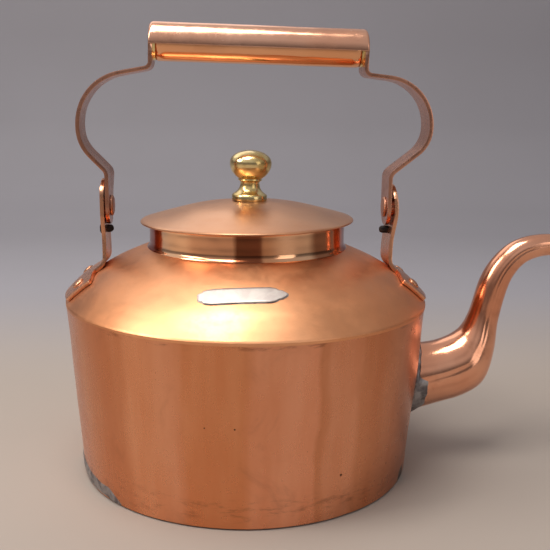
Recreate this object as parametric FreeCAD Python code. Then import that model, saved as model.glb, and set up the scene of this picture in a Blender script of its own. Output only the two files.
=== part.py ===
import FreeCAD, Part
import math
import os

# Antique copper swan-neck kettle. Millimetres, +Z up, spout towards +X.
# The origin is the centre of the base, on the plane that the kettle stands on.

V = FreeCAD.Vector
X_AXIS = V(1, 0, 0)
Y_AXIS = V(0, 1, 0)
Z_AXIS = V(0, 0, 1)

# Body
SHEET = 1.0                   # copper sheet of the body
BASE_RADIUS = 99.8
EDGE_RADIUS = 108.0           # sharp edge where the shoulder meets the wall
EDGE_Z = 104.5
WALL_LIFT = 1.0               # the wall ends this far above the table
WALL_TOP_Z = EDGE_Z - 2.0     # where the shoulder's short lip meets the wall
BASE_PLATE = 1.3
BASE_FLANGE_Z = 6.0
NECK_RADIUS = 58.4
NECK_FOOT_Z = 131.5
NECK_TOP_Z = 150.0
SHOULDER_LINE = [             # outer surface of the shoulder, radius and height
    (EDGE_RADIUS, EDGE_Z),
    (102.0, 110.7),
    (94.5, 117.2),
    (81.5, 125.2),
    (69.4, 130.9),
    (NECK_RADIUS, 135.3),
]
BEAD = 2.2                    # leg of the solder beads inside
SEAM_STRIP = (10.0, 0.8)      # width and thickness of the lap strip

# Lid
LID_RADIUS = 63.6
LID_EDGE = 1.3                # thickness at the lid's edge
LID_SHEET = 0.9
LID_TOP_Z = 162.0
LID_FLAT = 12.0               # radius of the flat that the knob stands on
SKIRT_RADIUS = 57.1
SKIRT_SHEET = 1.0
SKIRT_DEPTH = 11.0

# Knob
KNOB_TOP_Z = 191.5
KNOB_BALL_Z = 184.0
KNOB_BALL = (12.5, 9.0)       # half width, and depth of the ball below its widest line
KNOB_NECK_LINE = [            # radius and height above the lid, from the foot to the ball
    (10.3, 0), (10.2, 3.2), (9.3, 4.4), (7.6, 5.6), (6.2, 7.4), (5.6, 9.5), (5.6, 12.2), (6.3, 13.6),
]
STUD_RADIUS = 2.5
STUD_LENGTH = 12.0            # of the stud inside the knob
STUD_WASHER = (7.5, 1.4)      # radius and thickness

# Bail
STRAP = 2.2
STRAP_HALF_WIDTH = 11.0
PIVOT_Z = 158.6
GRIP_Z = 251.4                # of the middle of the grip's axis
GRIP_ENDS = (-57.0, 69.0)
GRIP_SLOPE = 0.94             # degrees, down towards the spout
SADDLE_RADIUS = 12.0
SADDLE_SHEET = 1.4
SADDLE_SKIRT = 1.1            # how far the saddle's edges reach below the grip's axis
TUBE_RADIUS = 10.2
TUBE_SHEET = 1.0
TUBE_GAP = 1.6                # between the tube's end and the strap's step
STEP_DROP = 13.0              # of the step's corner below the grip's axis
STEP_BEND = 2.6
STEP_ROOT = 2.4               # how far each arm reaches up into the saddle's end wall
# Outer line of each arm below the step: distance from the axis, height, bend radius
ARM_LINES = {
    -1: [(98.8, 231.2, 31.0), (98.8, 194.4, 24.0), (83.2, 178.5, 5.0), (83.2, PIVOT_Z, 0)],
    1: [(108.4, 232.9, 29.0), (108.4, 196.4, 20.0), (85.5, 178.3, 5.0), (85.5, PIVOT_Z, 0)],
}

# Pivots and lugs
RIVET_RADIUS = 3.0
RIVET_CLEARANCE = 0.08
RIVET_HEAD = (6.2, 1.3)       # radius and thickness
HEAD_GAP = 0.15               # under the rivet's head, so that the bail can turn
LUG_SHEET = 2.2
LUG_HALF_WIDTH = 11.8
LUG_TOP_RADIUS = 13.2
LUG_TOP_Z = 174.0
# Outer line of each lug, from the bend up: distance from the axis and height
LUG_LINES = {
    -1: [(85.2, 118.0), (85.3, 138.0), (85.9, 150.0), (86.1, 160.0), (86.1, 168.0), (85.7, 175.0)],
    1: [(86.6, 118.0), (86.9, 134.0), (87.6, 142.0), (88.9, 150.0), (89.7, 157.0), (89.1, 165.0),
        (88.0, 175.0)],
}
FOOT_START = 83.5
FOOT_KINK = 94.0
FOOT_HALF_WIDTH = 31.0        # at the kink
FOOT_EDGE_HALF_WIDTH = 28.0   # at the body's edge
FOOT_RIVET_AT = 99.0
FOOT_RIVET_TURN = 11.5        # degrees round the body, to each side of the lug
FOOT_RIVET_HEAD = (3.6, 1.7)
FOOT_RIVET_RADIUS = 2.0
STOP_DROP = 13.8              # of the stop pin below the pivot
STOP_RADIUS = 2.4
STOP_REACH = 5.5              # of the pin past the lug, towards the axis
STOP_HEAD = (3.4, 1.6)

# Spout: centre (x, z), half height, half width and tilt of each section, root first.
# Each section stays a little taller than it is wide.
SPOUT_SHEET = 1.1
SPOUT_SECTIONS = [
    (96.0, 49.4, 22.6, 19.8, 0),
    (117.0, 53.2, 19.8, 18.2, 8),
    (131.0, 57.2, 19.4, 17.5, 17),
    (140.6, 63.4, 18.2, 16.2, 33),
    (146.0, 75.4, 13.0, 12.4, 55),
    (149.2, 90.0, 9.7, 9.6, 71),
    (154.2, 110.5, 9.0, 8.9, 71),
    (160.2, 122.3, 8.4, 8.3, 56),
    (169.2, 130.9, 7.8, 7.7, 34),
    (181.0, 134.9, 7.0, 6.9, 10),
    (194.0, 135.3, 6.6, 6.5, -6),
    (207.0, 132.3, 6.4, 6.3, -20),
]
SPOUT_LIP = 1.5               # radius of the rolled rim
ROOT_RING = 1.8               # how far the solder ring stands out
PATCH = 0.8                   # thickness of the solder patches
PATCH_ARC = (-178.0, -137.0)  # ends of the base edge patch, degrees from +X
PATCH_TOP_Z = 10.0

# Name plate, blank
PLATE_SIZE = (46.0, 9.4)
PLATE_AT = (-4.8, -85.0)
PLATE_SHEET = 0.6


def revolve(wire):
    return Part.Face(wire).revolve(V(0, 0, 0), Z_AXIS, 360)


def outline(points):
    """A closed straight-sided wire in the XZ plane from (radius, height) pairs."""
    corners = [V(x, 0, z) for x, z in points]
    return Part.makePolygon(corners + corners[:1])


def curve(points):
    """One smooth edge in the XZ plane through (radius, height) pairs."""
    spline = Part.BSplineCurve()
    spline.interpolate([V(x, 0, z) for x, z in points])
    return spline.toShape()


def shifted(points, distance):
    """The points of a line moved sideways by distance, to the left of its direction."""
    moved = []
    for i, (x, z) in enumerate(points):
        x0, z0 = points[max(i - 1, 0)]
        x1, z1 = points[min(i + 1, len(points) - 1)]
        length = math.hypot(x1 - x0, z1 - z0)
        moved.append((x - distance * (z1 - z0) / length, z + distance * (x1 - x0) / length))
    return moved


def sheet_face(points, thickness):
    """A face in the XZ plane between a smooth line and the same line moved sideways."""
    other = shifted(points, thickness)
    ends = [Part.makeLine(V(points[i][0], 0, points[i][1]), V(other[i][0], 0, other[i][1]))
            for i in (0, -1)]
    wire = Part.Wire(Part.__sortEdges__([curve(points), ends[1], curve(other), ends[0]]))
    return Part.Face(wire)


def rod(radius, start, end):
    """A cylinder between two points."""
    return Part.makeCylinder(radius, (end - start).Length, start, end - start)


def wall_radius(z):
    return BASE_RADIUS + (EDGE_RADIUS - BASE_RADIUS) * z / EDGE_Z


def wall_ring(z0, z1, outer_gap, thickness):
    """A ring that follows the cone of the wall, outer_gap inside its outer face."""
    return revolve(outline([
        (wall_radius(z0) - outer_gap, z0),
        (wall_radius(z1) - outer_gap, z1),
        (wall_radius(z1) - outer_gap - thickness, z1),
        (wall_radius(z0) - outer_gap - thickness, z0),
    ]))


def dome_shell(depth):
    """A shell on the shoulder's outer face: depth below it, or above it if negative."""
    return sheet_face(SHOULDER_LINE, depth).revolve(V(0, 0, 0), Z_AXIS, 360)


def below_dome():
    """Everything under the shoulder's outer face, to cut other pieces against it."""
    top = [V(x, 0, z) for x, z in SHOULDER_LINE]
    edges = [
        curve(SHOULDER_LINE),
        Part.makeLine(top[-1], V(0, 0, top[-1].z)),
        Part.makeLine(V(0, 0, top[-1].z), V(0, 0, 0)),
        Part.makeLine(V(0, 0, 0), V(EDGE_RADIUS, 0, 0)),
        Part.makeLine(V(EDGE_RADIUS, 0, 0), top[0]),
    ]
    return revolve(Part.Wire(Part.__sortEdges__(edges)))


# ---- body ----

def body_wall():
    wall = wall_ring(WALL_LIFT, WALL_TOP_Z, 0, SHEET)
    return wall.cut(spout_solid(0))


def base_plate():
    inner = wall_radius(0) - SHEET
    top = wall_radius(BASE_FLANGE_Z) - SHEET
    corner = 2.0
    return revolve(outline([
        (0, 0),
        (inner - corner, 0),
        (inner - 0.3 * corner, 0.3 * corner),
        (wall_radius(corner) - SHEET, corner),
        (top, BASE_FLANGE_Z),
        (top - BASE_PLATE, BASE_FLANGE_Z),
        (inner - BASE_PLATE, corner + BASE_PLATE / 2),
        (inner - BASE_PLATE - corner / 2, BASE_PLATE),
        (0, BASE_PLATE),
    ]))


def base_bead():
    """Solder above the flange of the base plate, in the corner with the wall."""
    z = BASE_FLANGE_Z
    return revolve(outline([
        (wall_radius(z) - SHEET, z),
        (wall_radius(z + BEAD) - SHEET, z + BEAD),
        (wall_radius(z) - SHEET - BASE_PLATE, z),
    ]))


def shoulder():
    """The dome, with a short lip turned down over the top of the wall."""
    dome = dome_shell(SHEET)
    lip = revolve(outline([
        (EDGE_RADIUS, EDGE_Z),
        (wall_radius(WALL_TOP_Z), WALL_TOP_Z),
        (wall_radius(WALL_TOP_Z) - SHEET, WALL_TOP_Z),
        shifted(SHOULDER_LINE, SHEET)[0],
    ]))
    neck_hole = Part.makeCylinder(NECK_RADIUS, 40, V(0, 0, NECK_FOOT_Z - 10))
    return dome.fuse(lip).removeSplitter().cut(neck_hole)


def shoulder_bead():
    """Solder inside, in the corner under the shoulder's edge."""
    z = WALL_TOP_Z
    return revolve(outline([
        (wall_radius(z) - SHEET, z),
        (wall_radius(z - BEAD) - SHEET, z - BEAD),
        (wall_radius(z) - SHEET - BEAD, z),
    ]))


def neck_collar():
    return revolve(outline([
        (NECK_RADIUS, NECK_FOOT_Z),
        (NECK_RADIUS, NECK_TOP_Z - 0.4),
        (NECK_RADIUS - 0.4, NECK_TOP_Z),
        (NECK_RADIUS - SHEET, NECK_TOP_Z),
        (NECK_RADIUS - SHEET, NECK_FOOT_Z),
    ]))


def neck_bead():
    """Solder outside the collar's foot, under the shoulder."""
    under = Part.Face(outline([
        (NECK_RADIUS, NECK_FOOT_Z),
        (NECK_RADIUS, NECK_FOOT_Z + 3 * BEAD),
        (NECK_RADIUS + BEAD, NECK_FOOT_Z + 3 * BEAD),
    ])).revolve(V(0, 0, 0), Z_AXIS, 360)
    room = below_dome().cut(dome_shell(SHEET))
    return under.common(room)


def side_seam():
    """Lap strip inside the wall, opposite the spout."""
    width, thickness = SEAM_STRIP
    ring = wall_ring(BASE_FLANGE_Z + BEAD, WALL_TOP_Z - BEAD, SHEET, thickness)
    band = Part.makeBox(60, width, EDGE_Z, V(-EDGE_RADIUS - 20, -width / 2, 0))
    return ring.common(band)


# ---- spout ----

def section_wire(x, z, half_height, half_width, tilt):
    """An ellipse square to a direction that rises by tilt degrees from +X."""
    up = V(-math.sin(math.radians(tilt)), 0, math.cos(math.radians(tilt)))
    centre = V(x, 0, z)
    ellipse = Part.Ellipse(centre + up * half_height, centre + Y_AXIS * half_width, centre)
    return Part.Wire(ellipse.toShape())


def spout_solid(outset):
    """The spout as one closed solid, its surface moved outwards by outset."""
    wires = [section_wire(x, z, h + outset, w + outset, tilt)
             for x, z, h, w, tilt in SPOUT_SECTIONS]
    return Part.makeLoft(wires, True, False)


def inside_wall(gap):
    """The space inside the wall's outer face moved outwards by gap."""
    return revolve(outline([
        (0, 0), (wall_radius(0) + gap, 0), (wall_radius(EDGE_Z) + gap, EDGE_Z), (0, EDGE_Z)]))


def spout():
    tube = spout_solid(0).cut(spout_solid(-SPOUT_SHEET))
    return tube.cut(inside_wall(-SHEET))


def tip_frame():
    """Centre, direction and outer radius of the spout's mouth."""
    x, z, radius, _, tilt = SPOUT_SECTIONS[-1]
    return V(x, 0, z), V(math.cos(math.radians(tilt)), 0, math.sin(math.radians(tilt))), radius


def spout_lip():
    """The rolled rim, a ring on the end of the tube."""
    centre, along, radius = tip_frame()
    ring = Part.makeTorus(radius - SPOUT_LIP / 3, SPOUT_LIP, centre + along * SPOUT_LIP, along)
    behind = Part.makeCylinder(4 * radius, 4 * radius, centre - along * 4 * radius, along)
    return ring.cut(behind)


def spout_root_ring():
    """Solder fillet round the joint of the spout and the wall."""
    fillet = spout_solid(ROOT_RING).cut(spout_solid(0))
    return fillet.common(inside_wall(ROOT_RING)).cut(inside_wall(0))


def spout_root_patch():
    """Thicker solder, low on the spout's front side, beside the fillet."""
    skin = spout_solid(PATCH).cut(spout_solid(0)).cut(inside_wall(ROOT_RING))
    corner = V(wall_radius(0), -40, 20)
    return skin.common(Part.makeBox(11.5, 38, 33, corner))


def base_patch():
    """Solder smeared over the bottom edge of the wall, at the left front."""
    band = wall_ring(WALL_LIFT, PATCH_TOP_Z, -PATCH, PATCH)
    start = V(0, 0, 0)
    wedge = Part.makeCylinder(2 * BASE_RADIUS, 40, start, Z_AXIS, PATCH_ARC[1] - PATCH_ARC[0])
    wedge.rotate(start, Z_AXIS, PATCH_ARC[0])
    return band.common(wedge)


# ---- name plate ----

def name_plate():
    """Blank plate with one blunt end and one pointed end, following the shoulder."""
    width, depth = PLATE_SIZE
    half = width / 2
    step = depth / 4
    points = [
        (-half, -0.7 * step), (-half + 1.5 * step, -1.7 * step), (-half + 3 * step, -2 * step),
        (half - 4 * step, -2 * step), (half - 1.6 * step, -step), (half, 0), (half - 1.6 * step, step),
        (half - 4 * step, 2 * step), (-half + 3 * step, 2 * step), (-half + 1.5 * step, 1.7 * step),
        (-half, 0.7 * step),
    ]
    corners = [V(PLATE_AT[0] + x, PLATE_AT[1] + y, EDGE_Z) for x, y in points]
    column = Part.Face(Part.makePolygon(corners + corners[:1])).extrude(V(0, 0, 60))
    return dome_shell(-PLATE_SHEET).common(column)


# ---- lugs, rivets and pins ----

def lug_face_x(side, z, outer=True):
    """Distance from the axis of the lug's face at a height."""
    points = LUG_LINES[side]
    edge = curve(points if outer else shifted(points, LUG_SHEET))
    level = Part.makeLine(V(60, 0, z), V(120, 0, z))
    return edge.distToShape(level)[1][0][0].x


def mirrored(shape, side):
    """The shape as built for the front, or its mirror image for the rear."""
    return shape if side > 0 else shape.mirror(V(0, 0, 0), X_AXIS)


def round_top(half_width, radius, z_bottom, z_top):
    """A tall blade seen along X, with a round top that is wider than its shank."""
    centre_z = z_top - radius
    drop = math.sqrt(radius ** 2 - half_width ** 2)
    start = V(0, half_width, centre_z - drop)
    end = V(0, -half_width, centre_z - drop)
    arc = Part.Arc(start, V(0, 0, z_top), end).toShape()
    sides = Part.makePolygon([end, V(0, -half_width, z_bottom), V(0, half_width, z_bottom), start])
    return Part.Face(Part.Wire([arc] + sides.Edges)).extrude(V(150, 0, 0))


def lug_sheet(side):
    """The bowed sheet that the lug's blade is cut from."""
    strip = sheet_face(LUG_LINES[side], LUG_SHEET)
    strip.translate(V(0, -2 * LUG_TOP_RADIUS, 0))
    return strip.extrude(V(0, 4 * LUG_TOP_RADIUS, 0))


def cross_hole(radius, z):
    """A rod along X through both walls of one side."""
    return rod(radius, V(NECK_RADIUS, 0, z), V(EDGE_RADIUS + 12, 0, z))


def lug(side):
    """A bowed blade that turns outwards into a wide foot on the shoulder."""
    blade = lug_sheet(side).common(round_top(LUG_HALF_WIDTH, LUG_TOP_RADIUS, 100, LUG_TOP_Z))
    foot_plan = [
        (FOOT_START, -LUG_HALF_WIDTH), (FOOT_KINK, -FOOT_HALF_WIDTH),
        (EDGE_RADIUS + 1, -FOOT_EDGE_HALF_WIDTH), (EDGE_RADIUS + 1, FOOT_EDGE_HALF_WIDTH),
        (FOOT_KINK, FOOT_HALF_WIDTH), (FOOT_START, LUG_HALF_WIDTH),
    ]
    corners = [V(x, y, EDGE_Z - 10) for x, y in foot_plan]
    column = Part.Face(Part.makePolygon(corners + corners[:1])).extrude(V(0, 0, 60))
    foot = dome_shell(-LUG_SHEET).common(column)
    whole = blade.cut(below_dome()).fuse(foot).removeSplitter()
    holes = [cross_hole(RIVET_RADIUS, PIVOT_Z), cross_hole(STOP_RADIUS, PIVOT_Z - STOP_DROP)]
    whole = whole.cut(holes + foot_rivet_shanks(1))
    return mirrored(whole, side)


def foot_frame():
    """Point on the shoulder in line with the foot's rivets, and the outward normal there."""
    i = 1
    (x0, z0), (x1, z1) = SHOULDER_LINE[i], SHOULDER_LINE[i + 1]
    t = (x0 - FOOT_RIVET_AT) / (x0 - x1)
    point = V(FOOT_RIVET_AT, 0, z0 + t * (z1 - z0))
    normal = V(z1 - z0, 0, x0 - x1)
    return point, normal.normalize()


def turned(shape, turn):
    """The shape, made in line with the lug, moved round the body to the far or near side."""
    shape.rotate(V(0, 0, 0), Z_AXIS, turn * FOOT_RIVET_TURN)
    return shape


def foot_rivet_shanks(side):
    point, normal = foot_frame()
    return [mirrored(turned(rod(FOOT_RIVET_RADIUS, point - normal * 8, point + normal * 8), turn), side)
            for turn in (-1, 1)]


def foot_rivet(side, turn):
    """Rivet through the foot and the shoulder, with a head on both sides."""
    point, normal = foot_frame()
    radius, height = FOOT_RIVET_HEAD
    top = point + normal * LUG_SHEET
    bottom = point - normal * SHEET
    sunk = 0.5
    shank = rod(FOOT_RIVET_RADIUS, bottom - normal * height, top + normal * height)
    upper = Part.makeCone(radius, radius * 0.55, height + sunk, top - normal * sunk, normal)
    lower = Part.makeCone(radius, radius * 0.7, height + sunk, bottom + normal * sunk, normal * -1)
    sheets = dome_shell(SHEET).fuse(dome_shell(-LUG_SHEET))
    heads = upper.fuse(lower).cut(sheets)
    return mirrored(turned(heads.fuse(shank).removeSplitter(), turn), side)


def strap_face_x(side, outer=True):
    """Distance from the axis of the strap's face at the pivot."""
    x = ARM_LINES[side][-1][0]
    return x if outer else x - STRAP


def pivot_rivet(side):
    """Rivet fixed in the lug, with a flat head on the inside of the bail."""
    inner = strap_face_x(side, outer=False) - HEAD_GAP
    outer = lug_face_x(side, PIVOT_Z)
    radius, thickness = RIVET_HEAD
    shank = rod(RIVET_RADIUS, V(inner, 0, PIVOT_Z), V(outer + 1.2, 0, PIVOT_Z))
    head = rod(radius, V(inner - thickness, 0, PIVOT_Z), V(inner, 0, PIVOT_Z))
    head = head.makeFillet(0.7, [e for e in head.Edges if e.Vertexes[0].X < inner - 0.5])
    tail = rod(RIVET_RADIUS + 1.4, V(outer - 0.6, 0, PIVOT_Z), V(outer + 1.2, 0, PIVOT_Z))
    whole = shank.fuse([head, tail]).removeSplitter()
    return mirrored(whole.cut(drilled_sheet(side)), side)


def drilled_sheet(side):
    """The lug's sheet with the rivet's hole, to trim what sits on its faces."""
    return lug_sheet(side).cut(cross_hole(RIVET_RADIUS, PIVOT_Z))


def pivot_washer(side):
    """Spacer between the bail and the lug."""
    start = strap_face_x(side) + HEAD_GAP
    end = lug_face_x(side, PIVOT_Z) - LUG_SHEET / 2
    disc = rod(RIVET_RADIUS + 2.6, V(start, 0, PIVOT_Z), V(end, 0, PIVOT_Z))
    pieces = disc.cut(cross_hole(RIVET_RADIUS, PIVOT_Z)).cut(drilled_sheet(side)).Solids
    return mirrored(min(pieces, key=lambda piece: piece.CenterOfMass.x), side)


def stop_pin(side):
    """Iron pin through the lug, just under the end of the bail."""
    z = PIVOT_Z - STOP_DROP
    outer = lug_face_x(side, z)
    radius, thickness = STOP_HEAD
    shank = rod(STOP_RADIUS, V(outer - LUG_SHEET - STOP_REACH, 0, z), V(outer + thickness, 0, z))
    head = rod(radius, V(outer - 0.6, 0, z), V(outer + thickness, 0, z)).cut(lug_sheet(side))
    head = max(head.Solids, key=lambda piece: piece.CenterOfMass.x)
    return mirrored(shank.fuse(head).removeSplitter(), side)


# ---- bail ----

GRIP_CENTRE = V(sum(GRIP_ENDS) / 2, 0, GRIP_Z)


def rounded_path(corners):
    """Straight runs joined by tangent arcs, from (x, z, bend radius) corners."""
    points = [V(x, 0, z) for x, z, _ in corners]
    edges = []
    last = points[0]
    for i in range(1, len(points) - 1):
        back = (points[i - 1] - points[i]).normalize()
        ahead = (points[i + 1] - points[i]).normalize()
        half = back.getAngle(ahead) / 2
        radius = corners[i][2]
        start = points[i] + back * (radius / math.tan(half))
        end = points[i] + ahead * (radius / math.tan(half))
        middle_dir = (back + ahead).normalize()
        middle = points[i] + middle_dir * (radius / math.sin(half) - radius)
        edges.append(Part.makeLine(last, start))
        edges.append(Part.Arc(start, middle, end).toShape())
        last = end
    edges.append(Part.makeLine(last, points[-1]))
    return edges


def offset_corners(corners, distance):
    """The corner list moved by distance to the right of its direction, with its bend radii."""
    points = [V(x, 0, z) for x, z, _ in corners]
    moved = []
    for i, point in enumerate(points):
        before = (point - points[i - 1]).normalize() if i else None
        after = (points[i + 1] - point).normalize() if i < len(points) - 1 else None
        before = before or after
        after = after or before
        sides = [V(d.z, 0, -d.x) for d in (before, after)]
        turn = before.z * after.x - before.x * after.z
        mitre = (sides[0] + sides[1]) * (distance / (1 + sides[0].dot(sides[1])))
        radius = corners[i][2] - math.copysign(distance, turn) if corners[i][2] else 0
        moved.append(((point + mitre).x, (point + mitre).z, radius))
    return moved


def on_grip(shape):
    """The shape, made along X at the grip's height, turned to the grip's slope."""
    shape.rotate(GRIP_CENTRE, Y_AXIS, GRIP_SLOPE)
    return shape


def arm_corners(side):
    """The arm's outer line, from inside the saddle's end wall to the pivot."""
    end = GRIP_ENDS[0] if side < 0 else GRIP_ENDS[1]
    turn = FreeCAD.Rotation(Y_AXIS, GRIP_SLOPE)
    upper = []
    for rise, bend in ((STEP_ROOT, 0), (-STEP_DROP, STEP_BEND)):
        point = GRIP_CENTRE + turn.multVec(V(end, 0, GRIP_Z + rise) - GRIP_CENTRE)
        upper.append((abs(point.x), point.z, bend))
    return upper + ARM_LINES[side]


def strap_arm(side):
    """One arm: the step under the grip, the C-shaped bend and the round lower end."""
    corners = arm_corners(side)
    outer = rounded_path(corners)
    inner_corners = offset_corners(corners, STRAP)
    inner = rounded_path(inner_corners)
    ends = [Part.makeLine(V(corners[i][0], 0, corners[i][1]),
                          V(inner_corners[i][0], 0, inner_corners[i][1])) for i in (0, -1)]
    face = Part.Face(Part.Wire(Part.__sortEdges__(outer + inner + ends)))
    face.translate(V(0, -STRAP_HALF_WIDTH, 0))
    arm = face.extrude(V(0, 2 * STRAP_HALF_WIDTH, 0))
    inside = strap_face_x(side, outer=False)
    tail = rod(STRAP_HALF_WIDTH, V(inside, 0, PIVOT_Z), V(inside + STRAP, 0, PIVOT_Z))
    arm = arm.fuse(tail).removeSplitter()
    return mirrored(arm.cut(cross_hole(RIVET_RADIUS + RIVET_CLEARANCE, PIVOT_Z)), side)


def saddle():
    """Half-round channel over the grip, closed by a half-round wall at each end."""
    start, end = GRIP_ENDS
    centre = V(start, 0, GRIP_Z)
    outer = Part.makeCylinder(SADDLE_RADIUS, end - start, centre, X_AXIS)
    hollow = Part.makeCylinder(SADDLE_RADIUS - SADDLE_SHEET, end - start - 2 * STRAP,
                               centre + V(STRAP, 0, 0), X_AXIS)
    upper = Part.makeBox(end - start, 4 * SADDLE_RADIUS, SADDLE_RADIUS + SADDLE_SKIRT,
                         V(start, -2 * SADDLE_RADIUS, GRIP_Z - SADDLE_SKIRT))
    return on_grip(outer.common(upper).cut(hollow))


def bail_strap():
    return saddle().fuse([strap_arm(-1), strap_arm(1)]).removeSplitter()


def grip_tube():
    start = GRIP_ENDS[0] + STRAP + TUBE_GAP
    length = GRIP_ENDS[1] - STRAP - TUBE_GAP - start
    centre = V(start, 0, GRIP_Z)
    tube = Part.makeCylinder(TUBE_RADIUS, length, centre, X_AXIS)
    bore = Part.makeCylinder(TUBE_RADIUS - TUBE_SHEET, length, centre, X_AXIS)
    return on_grip(tube.cut(bore))


def grip_braze(side):
    """Braze metal that fills the gap between the tube's end and the strap's step."""
    x = GRIP_ENDS[0] + STRAP if side < 0 else GRIP_ENDS[1] - STRAP - TUBE_GAP
    disc = Part.makeCylinder(TUBE_RADIUS - 0.4, TUBE_GAP, V(x, 0, GRIP_Z), X_AXIS)
    bore = Part.makeCylinder(TUBE_RADIUS - 2.6, TUBE_GAP, V(x, 0, GRIP_Z), X_AXIS)
    return on_grip(disc.cut(bore))


# ---- lid ----

LID_LINE = [
    (LID_RADIUS, NECK_TOP_Z + LID_EDGE),
    (50.0, 155.2),
    (32.0, 159.6),
    (LID_FLAT, LID_TOP_Z),
]


def lid_underside():
    """The edges under the lid, from the axis out to the lid's edge."""
    under = shifted(LID_LINE, LID_SHEET)
    under[0] = (NECK_RADIUS - SHEET - 1, NECK_TOP_Z)
    flat_z = under[-1][1]
    return [
        Part.makeLine(V(0, 0, flat_z), V(under[-1][0], 0, flat_z)),
        curve(under),
        Part.makeLine(V(under[0][0], 0, NECK_TOP_Z), V(LID_RADIUS, 0, NECK_TOP_Z)),
    ], flat_z


def lid_dome():
    """The dished top, with its stiff edge lying on the collar."""
    edges, flat_z = lid_underside()
    edges += [
        Part.makeLine(V(LID_RADIUS, 0, NECK_TOP_Z), V(LID_RADIUS, 0, NECK_TOP_Z + LID_EDGE)),
        curve(LID_LINE),
        Part.makeLine(V(LID_FLAT, 0, LID_TOP_Z), V(0, 0, LID_TOP_Z)),
        Part.makeLine(V(0, 0, LID_TOP_Z), V(0, 0, flat_z)),
    ]
    dome = revolve(Part.Wire(Part.__sortEdges__(edges)))
    return dome.cut(rod(STUD_RADIUS, V(0, 0, NECK_FOOT_Z), V(0, 0, KNOB_TOP_Z)))


def lid_skirt():
    """The ring that drops into the collar, with its top against the lid."""
    ring = revolve(outline([
        (SKIRT_RADIUS, NECK_TOP_Z - SKIRT_DEPTH),
        (SKIRT_RADIUS - SKIRT_SHEET, NECK_TOP_Z - SKIRT_DEPTH),
        (SKIRT_RADIUS - SKIRT_SHEET, LID_TOP_Z),
        (SKIRT_RADIUS, LID_TOP_Z),
    ]))
    edges, flat_z = lid_underside()
    edges += [
        Part.makeLine(V(LID_RADIUS, 0, NECK_TOP_Z), V(LID_RADIUS, 0, KNOB_TOP_Z)),
        Part.makeLine(V(LID_RADIUS, 0, KNOB_TOP_Z), V(0, 0, KNOB_TOP_Z)),
        Part.makeLine(V(0, 0, KNOB_TOP_Z), V(0, 0, flat_z)),
    ]
    return ring.cut(revolve(Part.Wire(Part.__sortEdges__(edges))))


def knob():
    """Turned brass: flared foot, narrow waist and flattened ball."""
    half_width, depth = KNOB_BALL
    height = KNOB_TOP_Z - KNOB_BALL_Z
    steps = 18
    ball = []
    for i in range(steps):
        angle = math.radians(-50 + 140 * i / steps)
        rise = math.sin(angle) * (height if angle > 0 else depth)
        ball.append((half_width * math.cos(angle), KNOB_BALL_Z + rise))
    neck = [(radius, LID_TOP_Z + z) for radius, z in KNOB_NECK_LINE]
    body = revolve(outline(neck + ball + [(0, KNOB_TOP_Z), (0, LID_TOP_Z)]))
    return body.cut(rod(STUD_RADIUS, V(0, 0, LID_TOP_Z), V(0, 0, LID_TOP_Z + STUD_LENGTH)))


def knob_stud():
    """Stud from inside the knob through the lid and the washer, its end hammered over."""
    flat_z = lid_underside()[1]
    washer_z = flat_z - STUD_WASHER[1]
    shank = rod(STUD_RADIUS, V(0, 0, washer_z), V(0, 0, LID_TOP_Z + STUD_LENGTH))
    head = Part.makeCone(STUD_RADIUS * 0.7, STUD_RADIUS * 1.4, 1.2, V(0, 0, washer_z - 1.2))
    return shank.fuse(head).removeSplitter()


def knob_washer():
    radius, thickness = STUD_WASHER
    flat_z = lid_underside()[1]
    disc = rod(radius, V(0, 0, flat_z - thickness), V(0, 0, flat_z))
    return disc.cut(rod(STUD_RADIUS, V(0, 0, NECK_FOOT_Z), V(0, 0, flat_z)))


def build():
    nodes = {
        "body_wall": body_wall(),
        "base_plate": base_plate(),
        "base_solder_bead": base_bead(),
        "shoulder": shoulder().cut(foot_rivet_shanks(-1) + foot_rivet_shanks(1)),
        "shoulder_solder_bead": shoulder_bead(),
        "neck_collar": neck_collar(),
        "neck_solder_bead": neck_bead(),
        "side_seam_strip": side_seam(),
        "spout": spout(),
        "spout_lip": spout_lip(),
        "spout_root_ring": spout_root_ring(),
        "spout_root_patch": spout_root_patch(),
        "base_edge_patch": base_patch(),
        "name_plate": name_plate(),
        "bail_strap": bail_strap(),
        "grip_tube": grip_tube(),
        "lid_dome": lid_dome(),
        "lid_skirt": lid_skirt(),
        "knob": knob(),
        "knob_stud": knob_stud(),
        "knob_washer": knob_washer(),
    }
    for side, end in ((-1, "rear"), (1, "front")):
        nodes["lug_" + end] = lug(side)
        for turn, place in ((-1, "near"), (1, "far")):
            nodes["foot_rivet_" + end + "_" + place] = foot_rivet(side, turn)
        nodes["pivot_rivet_" + end] = pivot_rivet(side)
        nodes["pivot_washer_" + end] = pivot_washer(side)
        nodes["stop_pin_" + end] = stop_pin(side)
        nodes["grip_braze_" + end] = grip_braze(side)
    return nodes


os.makedirs("parts", exist_ok=True)
for name, shape in build().items():
    solids = shape.Solids
    print(name, "solids", len(solids), "valid", shape.isValid(), "volume", round(shape.Volume, 1))
    shape.exportStep("parts/" + name + ".step")
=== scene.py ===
from math import atan2, cos, degrees, exp, hypot, pi, radians, sin, sqrt, tan, tanh

import bmesh
import bpy
from mathutils import Matrix, Vector, noise


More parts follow.
